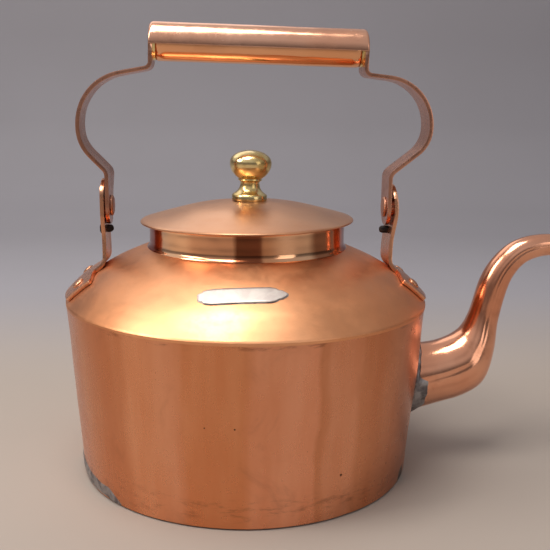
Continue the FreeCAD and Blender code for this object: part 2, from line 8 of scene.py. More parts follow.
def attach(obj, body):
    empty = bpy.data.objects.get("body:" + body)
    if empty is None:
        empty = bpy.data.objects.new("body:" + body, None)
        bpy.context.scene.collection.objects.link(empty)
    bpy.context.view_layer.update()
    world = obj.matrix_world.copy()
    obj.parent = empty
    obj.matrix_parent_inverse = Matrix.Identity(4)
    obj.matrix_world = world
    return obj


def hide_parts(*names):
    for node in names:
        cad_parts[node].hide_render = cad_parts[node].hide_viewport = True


# Antique copper swan-neck kettle. Shapes are worked out in millimetres, with +X towards the
# spout, +Z up and the base at z = 0, and are stored in metres. Side -1 is the rear, 1 the front.

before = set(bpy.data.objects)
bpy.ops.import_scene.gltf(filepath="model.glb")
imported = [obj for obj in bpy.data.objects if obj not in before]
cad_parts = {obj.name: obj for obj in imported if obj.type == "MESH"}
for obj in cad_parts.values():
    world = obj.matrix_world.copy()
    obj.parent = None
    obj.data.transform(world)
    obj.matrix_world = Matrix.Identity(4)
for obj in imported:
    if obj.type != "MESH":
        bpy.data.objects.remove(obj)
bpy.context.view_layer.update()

MM = 0.001

# Body
BASE_RADIUS = 99.8
EDGE_RADIUS = 108.0
EDGE_Z = 104.5
SHEET = 1.0
WALL_LIFT = 1.0
NECK_RADIUS = 58.4
NECK_FOOT_Z = 131.5
NECK_TOP_Z = 150.0
SHOULDER_LINE = [(108.0, 104.5), (102.0, 110.7), (94.5, 117.2), (81.5, 125.2), (69.4, 130.9),
                 (58.4, 135.3)]
# Dents: degrees from +X, height, width and depth
WALL_DENTS = [(-59.0, 6.0, 4.5, 0.7), (-104.0, 20.0, 16.0, 0.4), (-70.0, 60.0, 22.0, 0.35),
              (-128.0, 44.0, 18.0, 0.3)]
SHOULDER_DENTS = [(-62.0, 112.0, 9.0, 0.35), (-118.0, 116.0, 14.0, 0.3)]
BASE_PATCH = (-178.0, -135.0)     # degrees from +X of the solder wiped over the base edge

# Lid and knob
LID_RADIUS = 63.6
LID_EDGE = 1.3
LID_SHEET = 0.9
LID_LINE = [(63.6, 151.3), (50.0, 155.2), (32.0, 159.6), (12.0, 162.0)]
SKIRT_RADIUS = 57.1
SKIRT_SHEET = 1.0
SKIRT_DEPTH = 11.0
KNOB_TOP_Z = 191.5
KNOB_BALL_Z = 184.0
KNOB_BALL_RADIUS = 12.5
KNOB_BALL_DROP = 11.2
KNOB_FOOT = [(10.4, -0.3), (10.6, 0.5), (10.6, 2.6), (10.1, 3.3), (8.9, 4.1), (7.5, 5.2), (6.4, 6.8),
             (5.8, 8.6), (5.7, 10.2), (6.0, 11.0), (6.9, 11.4), (7.2, 11.8), (7.0, 12.3)]
LID_TOP_Z = 162.0
LID_TILT = 0.9                # degrees, the spout side up
KNOB_SHIFT = 1.2
KNOB_LEAN = 1.5               # degrees, towards the spout

# Handle
STRAP = 2.2
STRAP_HALF_WIDTH = 11.0
PIVOT_Z = 158.6
GRIP_Z = 251.4
GRIP_ENDS = (-57.0, 69.0)
GRIP_SLOPE = 0.94             # degrees, down towards the spout
SADDLE_RADIUS = 12.0
SADDLE_SHEET = 1.4
SADDLE_SKIRT = 1.1
SADDLE_CORNER = 2.6
TUBE_RADIUS = 10.2
TUBE_SHEET = 1.0
TUBE_GAP = 1.6
STEP_DROP = 13.0
STEP_BEND = 2.6
ARM_LINES = {
    -1: [(98.8, 231.2, 31.0), (98.8, 194.4, 24.0), (83.2, 178.5, 5.0), (83.2, PIVOT_Z, 0)],
    1: [(108.4, 232.9, 29.0), (108.4, 196.4, 20.0), (85.5, 178.3, 5.0), (85.5, PIVOT_Z, 0)],
}

# Lugs, rivets and pins
LUG_SHEET = 2.2
LUG_TOP_RADIUS = 13.2
LUG_TOP_Z = {-1: 174.6, 1: 172.3}
LUG_LINES = {
    -1: [(85.2, 118.0), (85.3, 138.0), (85.9, 150.0), (86.1, 160.0), (86.1, 168.0), (85.7, 175.0)],
    1: [(86.6, 118.0), (86.9, 134.0), (87.6, 142.0), (88.9, 150.0), (89.7, 157.0), (89.1, 165.0),
        (88.0, 175.0)],
}
LUG_WIDTHS = [(129, 12.6), (142, 11.8), (153, 12.4), (167, 11.9)]     # height, half width
FOOT_START = 89.6
FOOT_END = 106.4
FOOT_HALF_WIDTH = 31.0
FOOT_WIDTHS = [(FOOT_START, 14.0), (91.0, 18.5), (92.6, 25.5), (94.0, 30.0), (95.0, FOOT_HALF_WIDTH),
               (108.0, 28.0)]     # distance from the axis, half width
FOOT_RIVET_AT = 99.0
FOOT_RIVET_TURN = 11.5        # degrees round the body, to each side of the lug
FOOT_RIVET_SIZE = (3.7, 1.6, 5.5)     # radius and height of the head, length of the shank
STOP_DROP = 13.8
RIVET_HEIGHTS = {-1: 1.6, 1: 1.3}
STOP_REACH = {-1: 3.6, 1: 5.2}

# Spout: centre (x, z), half height, half width and tilt of each section, root first
SPOUT_SHEET = 1.1
SPOUT_SECTIONS = [
    (96.0, 49.4, 22.6, 19.8, 0),
    (117.0, 53.2, 19.8, 18.2, 8),
    (131.0, 57.2, 19.4, 17.5, 17),
    (140.6, 63.4, 18.2, 16.2, 33),
    (146.0, 75.4, 13.0, 12.4, 55),
    (149.2, 90.0, 9.7, 9.6, 71),
    (154.2, 110.5, 9.0, 8.9, 71),
    (160.2, 122.3, 8.4, 8.3, 56),
    (169.2, 130.9, 7.8, 7.7, 34),
    (181.0, 134.9, 7.0, 6.9, 10),
    (194.0, 135.3, 6.6, 6.5, -6),
    (207.0, 132.3, 6.4, 6.3, -20),
]
SPOUT_START = 100.5
SPOUT_LIP = [(0.5, 0.25), (1.0, 0.8), (1.6, 1.0), (2.3, 0.85), (2.8, 0.3)]     # along, outwards
# Creases along the spout: degrees round it (180 faces -Y), width in degrees, depth and seed
SPOUT_CREASES = [(200, 4.5, 0.4, 2.0), (176, 5.0, 0.34, 5.0), (152, 6.0, 0.26, 9.0),
                 (20, 6.0, 0.3, 13.0), (345, 5.0, 0.3, 17.0)]
SPOUT_SWELL = (58.0, 25.0, 2.2)   # height, width and depth of the wall's bulge round the root

# Name plate
PLATE_SIZE = (46.0, 9.4)
PLATE_AT = (-4.8, -85.4)
PLATE_BOW = 1.7               # how far its ends sit back from its middle
PLATE_OUTLINE = [(0.0, 0.3), (0.02, 0.52), (0.05, 0.6), (0.065, 0.8), (0.1, 0.9), (0.16, 1.0),
                 (0.8, 1.0), (0.86, 0.86), (0.9, 0.6), (0.93, 0.55), (0.97, 0.3), (1.0, 0.04)]

# Camera: place, then yaw towards +X, pitch and roll in degrees
CAMERA_AT = (-17.4, -499.1, 219.0)
CAMERA_TURN = (3.97, -11.62, 0.82)
CAMERA_LENS = 54.5
CAMERA_SENSOR = 36.0

# Lights: place and aimed height in metres, size in metres, power in watts, colour
LIGHTS = {
    "key": ((-1.05, -0.3, 0.95), 0.1, (0.5, 0.6), 7.4, (1.0, 0.95, 0.88)),
    "top": ((-0.27, -0.24, 1.38), 0.1, (0.62, 0.75), 12.0, (1.0, 0.97, 0.92)),
    "back": ((-0.5, 1.15, 1.3), 0.15, (1.5, 0.7), 2.4, (1.0, 0.96, 0.92)),
    "fill": ((0.9, -1.0, 0.5), 0.1, (0.5, 0.9), 1.6, (1.0, 0.93, 0.88)),
}
SKY_LOW = (0.15, 0.14, 0.145)
SKY_HIGH = (0.54, 0.53, 0.55)
FLOOR_NEAR = (0.385, 0.325, 0.28)
FLOOR_FAR = (0.33, 0.315, 0.34)
BACKDROP = [(-2.5, 0), (0.9, 0), (1.05, 0.02), (1.16, 0.08), (1.22, 0.18), (1.24, 0.35), (1.24, 0.75)]


# ---- curves and noise ----

def spline(points, steps):
    """Points along a smooth curve through the given tuples of any length."""
    out = []
    count = len(points)
    for i in range(count - 1):
        p = [points[max(i - 1, 0)], points[i], points[i + 1], points[min(i + 2, count - 1)]]
        for k in range(steps):
            t = k / steps
            weights = (
                (-t + 2 * t * t - t ** 3) / 2,
                (2 - 5 * t * t + 3 * t ** 3) / 2,
                (t + 4 * t * t - 3 * t ** 3) / 2,
                (-t * t + t ** 3) / 2,
            )
            out.append(tuple(sum(w * q[a] for w, q in zip(weights, p)) for a in range(len(p[0]))))
    out.append(tuple(points[-1]))
    return out


def lookup(curve, key, x):
    """The other coordinate of a sampled (a, b) curve where coordinate key equals x."""
    other = 1 - key
    rows = sorted(curve, key=lambda p: p[key])
    if x <= rows[0][key]:
        return rows[0][other]
    for a, b in zip(rows, rows[1:]):
        if x <= b[key]:
            return a[other] + (b[other] - a[other]) * (x - a[key]) / (b[key] - a[key])
    return rows[-1][other]


SHOULDER_CURVE = spline(SHOULDER_LINE, 12)


def dome_z(radius):
    """Height of the shoulder's outer face at a distance from the axis."""
    return lookup(SHOULDER_CURVE, 0, radius)


def dome_normal(radius):
    """Radial and upward parts of the shoulder's outward normal."""
    rise = dome_z(radius - 0.5) - dome_z(min(radius + 0.5, EDGE_RADIUS))
    run = min(radius + 0.5, EDGE_RADIUS) - (radius - 0.5)
    length = hypot(rise, run)
    return rise / length, run / length


def above_dome(x, y, rise):
    """The point that stands rise above the shoulder's outer face at (x, y)."""
    radius = hypot(x, y)
    out, up = dome_normal(radius)
    reach = 1 + out * rise / radius
    return Vector((x * reach, y * reach, dome_z(radius) + up * rise))


def wall_radius(z):
    """Radius of the wall's outer face at a height."""
    return BASE_RADIUS + (EDGE_RADIUS - BASE_RADIUS) * z / EDGE_Z


def offset_line(points, distance):
    """The points of a line moved to the left of its direction."""
    moved = []
    for i, (x, z) in enumerate(points):
        x0, z0 = points[max(i - 1, 0)]
        x1, z1 = points[min(i + 1, len(points) - 1)]
        length = hypot(x1 - x0, z1 - z0)
        moved.append((x - distance * (z1 - z0) / length, z + distance * (x1 - x0) / length))
    return moved


def fillet_path(corners):
    """Points along straight runs joined by tangent arcs, from (x, z, radius) corners."""
    points = [Vector((x, z)) for x, z, _ in corners]
    out = [points[0]]
    for i in range(1, len(points) - 1):
        back = (points[i - 1] - points[i]).normalized()
        ahead = (points[i + 1] - points[i]).normalized()
        half = back.angle(ahead) / 2
        radius = corners[i][2]
        centre = points[i] + (back + ahead).normalized() * (radius / sin(half))
        start = points[i] + back * (radius / tan(half)) - centre
        end = points[i] + ahead * (radius / tan(half)) - centre
        sweep = start.angle(end)
        turn = 1 if start.x * end.y - start.y * end.x > 0 else -1
        steps = max(8, int(degrees(sweep) / 4))
        for k in range(steps + 1):
            a = turn * sweep * k / steps
            out.append(centre + Vector((start.x * cos(a) - start.y * sin(a),
                                        start.x * sin(a) + start.y * cos(a))))
    out.append(points[-1])
    return out


def polar(radius, angle, z):
    """The point at a radius, an angle in radians from +X, and a height."""
    return Vector((radius * cos(angle), radius * sin(angle), z))


def curved(a, corner, b, t):
    """The point a share t along a curve from a to b that turns at a corner."""
    return a * (1 - t) ** 2 + corner * (2 * t * (1 - t)) + b * t * t


def widened(point, scale, lift=0.0):
    """A point moved out from the axis by a factor, and up."""
    return Vector((point.x * scale, point.y * scale, point.z + lift))


def wander(point, size, seed=0.0):
    """Smooth noise from -1 to 1 that changes over about size millimetres."""
    return noise.noise(Vector(point) / size + Vector((seed, 7.3 * seed, -3.1 * seed)))


# ---- mesh builders ----

def new_piece(name, verts, faces, materials, face_material=None, sharp=40):
    """An object in metres from points in millimetres, smooth-shaded with sharp corners kept."""
    mesh = bpy.data.meshes.new(name)
    mesh.from_pydata([Vector(v) * MM for v in verts], [], faces)
    for material in materials:
        mesh.materials.append(material)
    if face_material:
        mesh.polygons.foreach_set("material_index", face_material)
    work = bmesh.new()
    work.from_mesh(mesh)
    bmesh.ops.remove_doubles(work, verts=work.verts, dist=1e-6)
    bmesh.ops.dissolve_degenerate(work, edges=work.edges, dist=1e-7)
    bmesh.ops.recalc_face_normals(work, faces=work.faces)
    work.to_mesh(mesh)
    work.free()
    mesh.shade_smooth()
    mesh.set_sharp_from_angle(angle=radians(sharp))
    piece = bpy.data.objects.new(name, mesh)
    bpy.context.scene.collection.objects.link(piece)
    return piece


def settle(piece, body, slot, *nodes):
    """Parents a piece to its body and hides the parts it stands for; slot, its finish, is not used."""
    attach(piece, body)
    if nodes:
        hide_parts(*nodes)


def apply_modifiers(piece):
    """Bakes the piece's modifiers into its mesh."""
    graph = bpy.context.evaluated_depsgraph_get()
    mesh = bpy.data.meshes.new_from_object(piece.evaluated_get(graph))
    piece.modifiers.clear()
    piece.data = mesh


def soften(piece, width, segments=2):
    """Rounds the piece's sharp edges by width millimetres."""
    bevel = piece.modifiers.new("soften", "BEVEL")
    bevel.width = width * MM
    bevel.segments = segments
    bevel.limit_method = "ANGLE"
    bevel.angle_limit = radians(35)
    apply_modifiers(piece)
    piece.data.shade_smooth()
    piece.data.set_sharp_from_angle(angle=radians(50))


def grid_faces(count, across, ring_rows=False, ring_columns=False):
    """Quads of a grid of count rows by across columns. A ring joins its last line to its first."""
    faces = []
    for i in range(count if ring_rows else count - 1):
        k = (i + 1) % count
        for j in range(across if ring_columns else across - 1):
            m = (j + 1) % across
            faces.append((i * across + j, i * across + m, k * across + m, k * across + j))
    return faces


def lathe(name, loop, materials, segments=160, run_slots=None, shape=None, axis="Z", sharp=40):
    """A turned piece from a closed loop of (radius, height) points. run_slots gives each run's
    material, and shape moves the finished points."""
    verts = []
    for i in range(segments):
        for radius, z in loop:
            point = polar(radius, 2 * pi * i / segments, z)
            if shape:
                point = shape(point)
            verts.append(Vector((point.z, point.x, point.y)) if axis == "X" else point)
    faces = [(a, d, c, b) for a, b, c, d in grid_faces(segments, len(loop), True, True)]
    slots = (run_slots or [0] * len(loop)) * segments
    return new_piece(name, verts, faces, materials, slots, sharp)


def closed_sheet(name, outer_rows, inner_rows, materials):
    """A closed sheet between two grids of points with the same rows and columns."""
    across = len(outer_rows[0])
    count = len(outer_rows)
    total = count * across
    verts = [p for row in outer_rows + inner_rows for p in row]
    faces = []
    for quad in grid_faces(count, across):
        faces += [quad, tuple(total + q for q in reversed(quad))]
    rim = list(range(across))
    rim += [i * across + across - 1 for i in range(1, count)]
    rim += [(count - 1) * across + j for j in range(across - 2, -1, -1)]
    rim += [i * across for i in range(count - 2, 0, -1)]
    faces += [(a, b, total + b, total + a) for a, b in zip(rim, rim[1:] + rim[:1])]
    return new_piece(name, verts, faces, materials)


def thick_sheet(name, rows, thickness, materials, side=1):
    """A closed sheet from a grid of points on its outer face; side says which way is in."""
    inner = []
    for i, row in enumerate(rows):
        before, after = rows[max(i - 1, 0)], rows[min(i + 1, len(rows) - 1)]
        line = []
        for j, point in enumerate(row):
            across = row[min(j + 1, len(row) - 1)] - row[max(j - 1, 0)]
            normal = (after[j] - before[j]).cross(across).normalized()
            line.append(point + normal * (side * thickness))
        inner.append(line)
    return closed_sheet(name, rows, inner, materials)


# ---- materials ----

class Nodes:
    """Short helpers to write the node tree of a material or of the sky."""

    def __init__(self, owner, place="Object"):
        owner.use_nodes = True
        self.owner = owner
        self.tree = owner.node_tree
        self.place = self.add("TexCoord", place)

    def plug(self, value, node, socket):
        """Links another node's output to a socket, or sets the socket to a plain value."""
        if isinstance(value, bpy.types.NodeSocket):
            self.tree.links.new(value, node.inputs[socket])
        elif value is not None:
            node.inputs[socket].default_value = value

    def add(self, kind, output, inputs=(), **settings):
        """A node with its settings and (socket, value) inputs; returns one of its outputs."""
        node = self.tree.nodes.new("ShaderNode" + kind)
        for name, value in settings.items():
            setattr(node, name, value)
        for socket, value in inputs:
            self.plug(value, node, socket)
        return node.outputs[output]

    def scaled(self, scale, turn=(0, 0, 0)):
        turn = [radians(a) for a in turn]
        inputs = [("Vector", self.place), ("Scale", scale), ("Rotation", turn)]
        return self.add("Mapping", "Vector", inputs)

    def noise(self, scale, detail=4.0, rough=0.55, vector=None, distort=0.0):
        inputs = [("Vector", vector or self.place), ("Scale", scale), ("Detail", detail)]
        return self.add("TexNoise", "Fac", inputs + [("Roughness", rough), ("Distortion", distort)])

    def cells(self, scale, feature="F1"):
        inputs = [("Vector", self.place), ("Scale", scale)]
        if feature == "SMOOTH_F1":
            inputs.append(("Smoothness", 0.6))
        return self.add("TexVoronoi", "Distance", inputs, feature=feature)

    def ramp(self, value, low, high, to_low=0.0, to_high=1.0):
        inputs = [("Value", value), ("From Min", low), ("From Max", high)]
        inputs += [("To Min", to_low), ("To Max", to_high)]
        return self.add("MapRange", "Result", inputs, interpolation_type="SMOOTHSTEP")

    def math(self, operation, a, b):
        return self.add("Math", "Value", [(0, a), (1, b)], operation=operation)

    def plus(self, a, b):
        return self.math("ADD", a, b)

    def times(self, a, b):
        return self.math("MULTIPLY", a, b)

    def mix(self, factor, a, b, blend="MIX"):
        a, b = ((*color, 1.0) if isinstance(color, tuple) else color for color in (a, b))
        return self.add("Mix", 2, [(0, factor), (6, a), (7, b)], data_type="RGBA", blend_type=blend)

    def bump(self, height, strength, distance, after=None):
        inputs = [("Height", height), ("Strength", strength), ("Distance", distance), ("Normal", after)]
        return self.add("Bump", "Normal", inputs)

    def axis(self, name):
        return self.add("SeparateXYZ", name, [("Vector", self.place)])

    def azimuth(self):
        """Angle round the kettle's axis, from 0 at -X through 0.25 at -Y and 0.5 at +X to 1."""
        turn = self.math("ARCTAN2", self.axis("Y"), self.axis("X"))
        return self.plus(self.math("DIVIDE", turn, 2 * pi), 0.5)

    def distance(self, point):
        return self.add("VectorMath", "Value", [(0, self.place), (1, point)], operation="DISTANCE")

    def tones(self, value, stops):
        """A colour for each value, from (position, colour) stops."""
        color = self.add("ValToRGB", "Color", [("Fac", value)])
        ramp = color.node.color_ramp
        ramp.interpolation = "EASE"
        while len(ramp.elements) < len(stops):
            ramp.elements.new(0.5)
        for element, (position, tint) in zip(ramp.elements, stops):
            element.position = position
            element.color = (*tint, 1.0)
        return color

    def finish(self, color, roughness, normal=None, metallic=1.0):
        """Sets the surface's colour, roughness, bumps and metalness, and returns the material."""
        shader = self.tree.nodes["Principled BSDF"]
        self.plug(color, shader, "Base Color")
        self.plug(roughness, shader, "Roughness")
        self.plug(normal, shader, "Normal")
        self.plug(metallic, shader, "Metallic")
        return self.owner


def paint_reflections_round(n, color, painted_reflections):
    """Painted reflections and shade: the colour multiplied round the kettle by (degrees from +X, tint)
    stops, with wavering edges.
    """
    stops = [(azimuth / 360 + 0.5, tint) for azimuth, tint in painted_reflections]
    waver = n.times(n.plus(n.noise(22.0, 3.0), -0.5), 0.02)
    return n.mix(1.0, color, n.tones(n.plus(n.azimuth(), waver), stops), "MULTIPLY")


def darkened_band(n, color, stain, low, high, strength):
    """The colour darkened towards the stain colour in a broken band between two heights."""
    height = n.axis("Z")
    edge = (high - low) * 0.4 * MM
    rising = n.ramp(height, low * MM, low * MM + edge)
    falling = n.ramp(height, high * MM - edge, high * MM, 1.0, 0.0)
    broken = n.ramp(n.noise(1.0, 5.0, 0.7, n.scaled((70, 70, 260))), 0.48, 0.68, 0.0, strength)
    return n.mix(n.times(n.times(rising, falling), broken), color, stain)


def spotted(n, color, x, y, z, radius):
    """The colour with one dark mark round a point."""
    gap = n.distance((x * MM, y * MM, z * MM))
    return n.mix(n.ramp(gap, 0.5 * radius * MM, radius * MM, 0.95, 0.0), color, (0.02, 0.012, 0.01))


def copper(name, bright, deep, stain, rough, streaks=0.0, stains=0.5, scratches=0.25, planish=0.1,
           pits=0.7, painted_reflections=None, darkening_bands=(), spots=()):
    """Old copper: two tones in soft vertical streaks (partly painted reflections), brown stains, pits and
    fine scratches.
    painted_reflections holds (degrees from +X, tint) stops of painted reflections and shade round the
    kettle, darkening_bands holds (low, high, strength) darker stretches and spots holds (x, y, z, radius)
    marks."""
    n = Nodes(bpy.data.materials.new(name))
    broad = n.noise(14.0, 3.0)
    # Soft vertical streaks mixed into the tone: partly the copper's own streaking, partly painted
    # reflections of the room, most of all on the body wall.
    streak = n.noise(1.0, 3.0, 0.6, n.scaled((46, 46, 5)))
    tone = n.plus(n.times(broad, 1.0 - streaks), n.times(streak, streaks))
    color = n.mix(n.ramp(tone, 0.36, 0.64), deep, bright)
    # Painted reflections and shade round the kettle, fixed to the object
    if painted_reflections:
        color = paint_reflections_round(n, color, painted_reflections)
    cloud = n.noise(30.0, 6.0, 0.65, distort=0.6)
    color = n.mix(n.ramp(cloud, 0.54, 0.74, 0.0, stains), color, stain)
    for band in darkening_bands:
        color = darkened_band(n, color, stain, *band)
    for spot in spots:
        color = spotted(n, color, *spot)
    dots = n.ramp(n.cells(330.0), 0.05, 0.11, pits, 0.0)
    dots = n.times(dots, n.ramp(n.noise(52.0, 2.0), 0.55, 0.66))
    color = n.mix(dots, color, stain)
    fine = n.noise(210.0, 5.0, 0.6)
    rub = n.noise(1.0, 3.0, 0.6, n.scaled((900, 900, 60), (12, 8, 20)))
    level = n.plus(n.plus(n.times(cloud, 0.5), n.times(fine, 0.3)), n.times(rub, 0.2))
    scratch = n.plus(n.noise(1.0, 2.0, 0.5, n.scaled((1400, 1400, 45), (25, -15, 40))),
                     n.noise(1.0, 2.0, 0.5, n.scaled((60, 1500, 1500), (10, 35, 12))))
    normal = n.bump(n.cells(95.0, "SMOOTH_F1"), planish, 0.0006)
    normal = n.bump(n.noise(36.0, 2.0), 2.5 * planish, 0.0012, normal)
    normal = n.bump(scratch, scratches * 0.3, 0.0001, normal)
    normal = n.bump(n.plus(fine, n.times(dots, -1.5)), 0.035, 0.0002, normal)
    return n.finish(color, n.ramp(level, 0.36, 0.64, *rough), normal)


def brass(name):
    """Polished brass with tarnish low down and small pits in its surface."""
    n = Nodes(bpy.data.materials.new(name))
    blotch = n.noise(90.0, 5.0, 0.65)
    color = n.mix(n.ramp(blotch, 0.4, 0.66), (0.9, 0.7, 0.34), (0.68, 0.48, 0.18))
    foot = n.ramp(n.axis("Z"), 0.1625, 0.1665, 0.6, 0.0)
    foot = n.times(foot, n.ramp(n.noise(260.0, 4.0), 0.35, 0.6))
    color = n.mix(foot, color, (0.16, 0.11, 0.05))
    normal = n.bump(n.cells(240.0, "SMOOTH_F1"), 0.25, 0.0004)
    normal = n.bump(n.noise(700.0, 3.0), 0.08, 0.0001, normal)
    return n.finish(color, n.ramp(blotch, 0.35, 0.65, 0.14, 0.28), normal)


def grey_metal(name, light, dark, rough, lump):
    """Solder, tin or white metal: two greys, cloudy, with a lumpy or brushed surface."""
    n = Nodes(bpy.data.materials.new(name))
    cloud = n.noise(120.0, 6.0, 0.65, distort=0.5)
    normal = n.bump(n.noise(150.0, 4.0, 0.6), lump, 0.0008)
    normal = n.bump(n.noise(900.0, 3.0), lump * 0.4, 0.0001, normal)
    roughness = n.ramp(n.noise(260.0, 4.0), 0.35, 0.65, *rough)
    return n.finish(n.mix(n.ramp(cloud, 0.38, 0.62), dark, light), roughness, normal)


def iron(name):
    """Black forged iron with rusty scale."""
    n = Nodes(bpy.data.materials.new(name))
    scale = n.noise(300.0, 5.0, 0.7)
    color = n.mix(n.ramp(scale, 0.45, 0.7), (0.012, 0.01, 0.01), (0.075, 0.045, 0.03))
    normal = n.bump(n.noise(500.0, 4.0), 0.5, 0.0003)
    return n.finish(color, n.ramp(scale, 0.3, 0.7, 0.45, 0.8), normal, 0.6)


# Painted reflections and shade, multiplied into the colour round the kettle: degrees from +X, colour
# Painted reflections on the body wall: light and dark stripes across the front, darker towards +X, bluish
# towards -X.
WALL_PAINTED_REFLECTIONS = [
    (-180, (0.72, 0.76, 0.9)), (-158, (0.8, 0.78, 0.86)), (-148, (0.8, 0.76, 0.74)),
    (-130, (0.78, 0.71, 0.67)), (-125, (0.92, 0.92, 0.94)), (-112, (0.94, 0.94, 1)),
    (-109, (0.9, 0.84, 0.78)), (-93, (0.9, 0.83, 0.76)), (-89, (1, 1, 1.1)), (-72, (1, 0.98, 1.08)),
    (-70, (0.8, 0.74, 0.72)), (-67, (0.92, 0.92, 1)), (-59, (0.92, 0.9, 0.96)),
    (-56, (0.8, 0.73, 0.7)), (-28, (0.72, 0.66, 0.66)), (20, (0.95, 0.92, 0.92)),
    (60, (0.88, 0.84, 0.82)), (100, (1, 1, 1)), (140, (0.9, 0.85, 0.82)), (180, (0.72, 0.76, 0.9)),
]
# Painted shade on the shoulder: full colour across the front, darker round the sides and back.
SHOULDER_PAINTED_SHADE = [
    (-180, (0.84, 0.78, 0.74)), (-155, (0.76, 0.74, 0.76)), (-138, (0.8, 0.78, 0.76)),
    (-122, (1, 1, 1)), (-68, (1, 1, 1)), (-40, (0.92, 0.86, 0.84)), (0, (0.9, 0.84, 0.82)),
    (90, (1, 0.96, 0.94)), (180, (0.84, 0.78, 0.74)),
]
# Painted reflections on the collar: dark stripes where it would mirror the handle, lid and room, light
# stripes between.
COLLAR_PAINTED_REFLECTIONS = [
    (-180, (0.5, 0.35, 0.3)), (-163, (0.34, 0.09, 0.05)), (-153, (0.4, 0.12, 0.07)),
    (-147, (1, 1, 1)), (-129, (1, 0.95, 0.9)), (-122, (0.8, 0.68, 0.62)), (-100, (0.8, 0.66, 0.6)),
    (-97, (0.22, 0.12, 0.09)), (-85, (0.25, 0.13, 0.1)), (-82, (0.75, 0.6, 0.5)), (-69, (1, 1, 1)),
    (-57, (1, 1, 1)), (-50, (0.38, 0.26, 0.22)), (-38, (0.42, 0.28, 0.22)), (-31, (1, 0.58, 0.36)),
    (-25, (0.8, 0.4, 0.3)), (-18, (0.36, 0.1, 0.08)), (20, (0.8, 0.62, 0.55)),
    (60, (0.45, 0.3, 0.26)), (100, (1, 0.95, 0.9)), (150, (0.55, 0.4, 0.34)), (180, (0.5, 0.35, 0.3)),
]

BODY = copper("body_copper", (0.9, 0.41, 0.215), (0.82, 0.33, 0.155), (0.26, 0.1, 0.05),
              (0.24, 0.36), streaks=0.7, stains=0.22, painted_reflections=WALL_PAINTED_REFLECTIONS,
              # The first broken darker band is dirt low on the wall; the second darkens the wall's top
              # edge just under the shoulder's edge.
              darkening_bands=[(2.0, 20.0, 0.45), (99.5, 103.5, 0.55)],
              spots=[(91.3, -41.0, 2.0, 8.0), (47.5, -89.5, 26.0, 1.1), (-9.2, -104.0, 58.0, 0.6),
                     (-24.5, -101.5, 58.0, 0.5)])
SHOULDER = copper("shoulder_copper", (0.95, 0.46, 0.23), (0.87, 0.38, 0.175), (0.32, 0.14, 0.07),
                  (0.35, 0.47), 0.15, 0.14, planish=0.06, pits=0.25, painted_reflections=SHOULDER_PAINTED_SHADE)
LID = copper("lid_copper", (0.82, 0.45, 0.26), (0.74, 0.37, 0.2), (0.34, 0.17, 0.1),
             (0.28, 0.38), 0.1, 0.2, 0.12, 0.05, pits=0.2)
POLISHED = copper("polished_copper", (0.95, 0.5, 0.27), (0.88, 0.42, 0.2), (0.38, 0.16, 0.08),
                  (0.09, 0.18), 0.2, 0.25, 0.1, 0.12)
SPOUT = copper("spout_copper", (0.96, 0.5, 0.32), (0.82, 0.35, 0.2), (0.34, 0.12, 0.06),
               (0.12, 0.22), 0.2, 0.5, 0.14, 0.12)
COLLAR = copper("collar_copper", (1.0, 0.6, 0.35), (0.98, 0.53, 0.3), (0.38, 0.16, 0.08),
                (0.09, 0.18), 0.2, 0.15, 0.1, painted_reflections=COLLAR_PAINTED_REFLECTIONS)
HANDLE = copper("handle_copper", (0.66, 0.33, 0.22), (0.48, 0.22, 0.14), (0.22, 0.1, 0.065),
                (0.2, 0.36), stains=0.45, planish=0.12)
SADDLE = copper("saddle_copper", (0.93, 0.52, 0.35), (0.84, 0.42, 0.26), (0.34, 0.15, 0.09),
                (0.15, 0.28), stains=0.3)
LUG = copper("lug_copper", (0.9, 0.48, 0.3), (0.72, 0.34, 0.19), (0.26, 0.12, 0.07),
             (0.22, 0.36), planish=0.12)
DULL = copper("rivet_copper", (0.58, 0.3, 0.2), (0.42, 0.2, 0.13), (0.18, 0.08, 0.05),
              (0.38, 0.52), stains=0.6, planish=0.15)
# Very dark copper for the base plate, which shows only as the thin line under the wall's lower edge.
DARKENED_BASE = copper("darkened_base_copper", (0.45, 0.22, 0.13), (0.24, 0.12, 0.08), (0.05, 0.035, 0.03),
                (0.35, 0.6), stains=0.9)
BRASS = brass("knob_brass")
SOLDER = grey_metal("solder", (0.4, 0.38, 0.38), (0.16, 0.145, 0.15), (0.35, 0.6), 0.5)
TIN = grey_metal("tin_lining", (0.55, 0.53, 0.5), (0.33, 0.3, 0.27), (0.35, 0.55), 0.2)
WHITE_METAL = grey_metal("white_metal", (0.64, 0.58, 0.53), (0.57, 0.5, 0.46), (0.42, 0.52), 0.06)
IRON = iron("black_iron")


# ---- body ----

def hand_made(amount, size, seed, dents=()):
    """A function that moves points in and out a little, as in hand-raised sheet."""
    def shape(point):
        radius = hypot(point.x, point.y)
        if radius < 1e-6:
            return point
        push = amount * wander(point, size, seed) + 0.4 * amount * wander(point, size / 3, seed + 5)
        for azimuth, z, width, depth in dents:
            gap = (point - polar(radius, radians(azimuth), z)).length
            push -= depth * exp(-(gap / width) ** 2)
        return widened(point, (radius + push) / radius)
    return shape


def spout_swell(y, z):
    """How far the wall bulges out round the root of the spout."""
    height, width, depth = SPOUT_SWELL
    return depth * exp(-(y * y + (z - height) ** 2) / width ** 2)


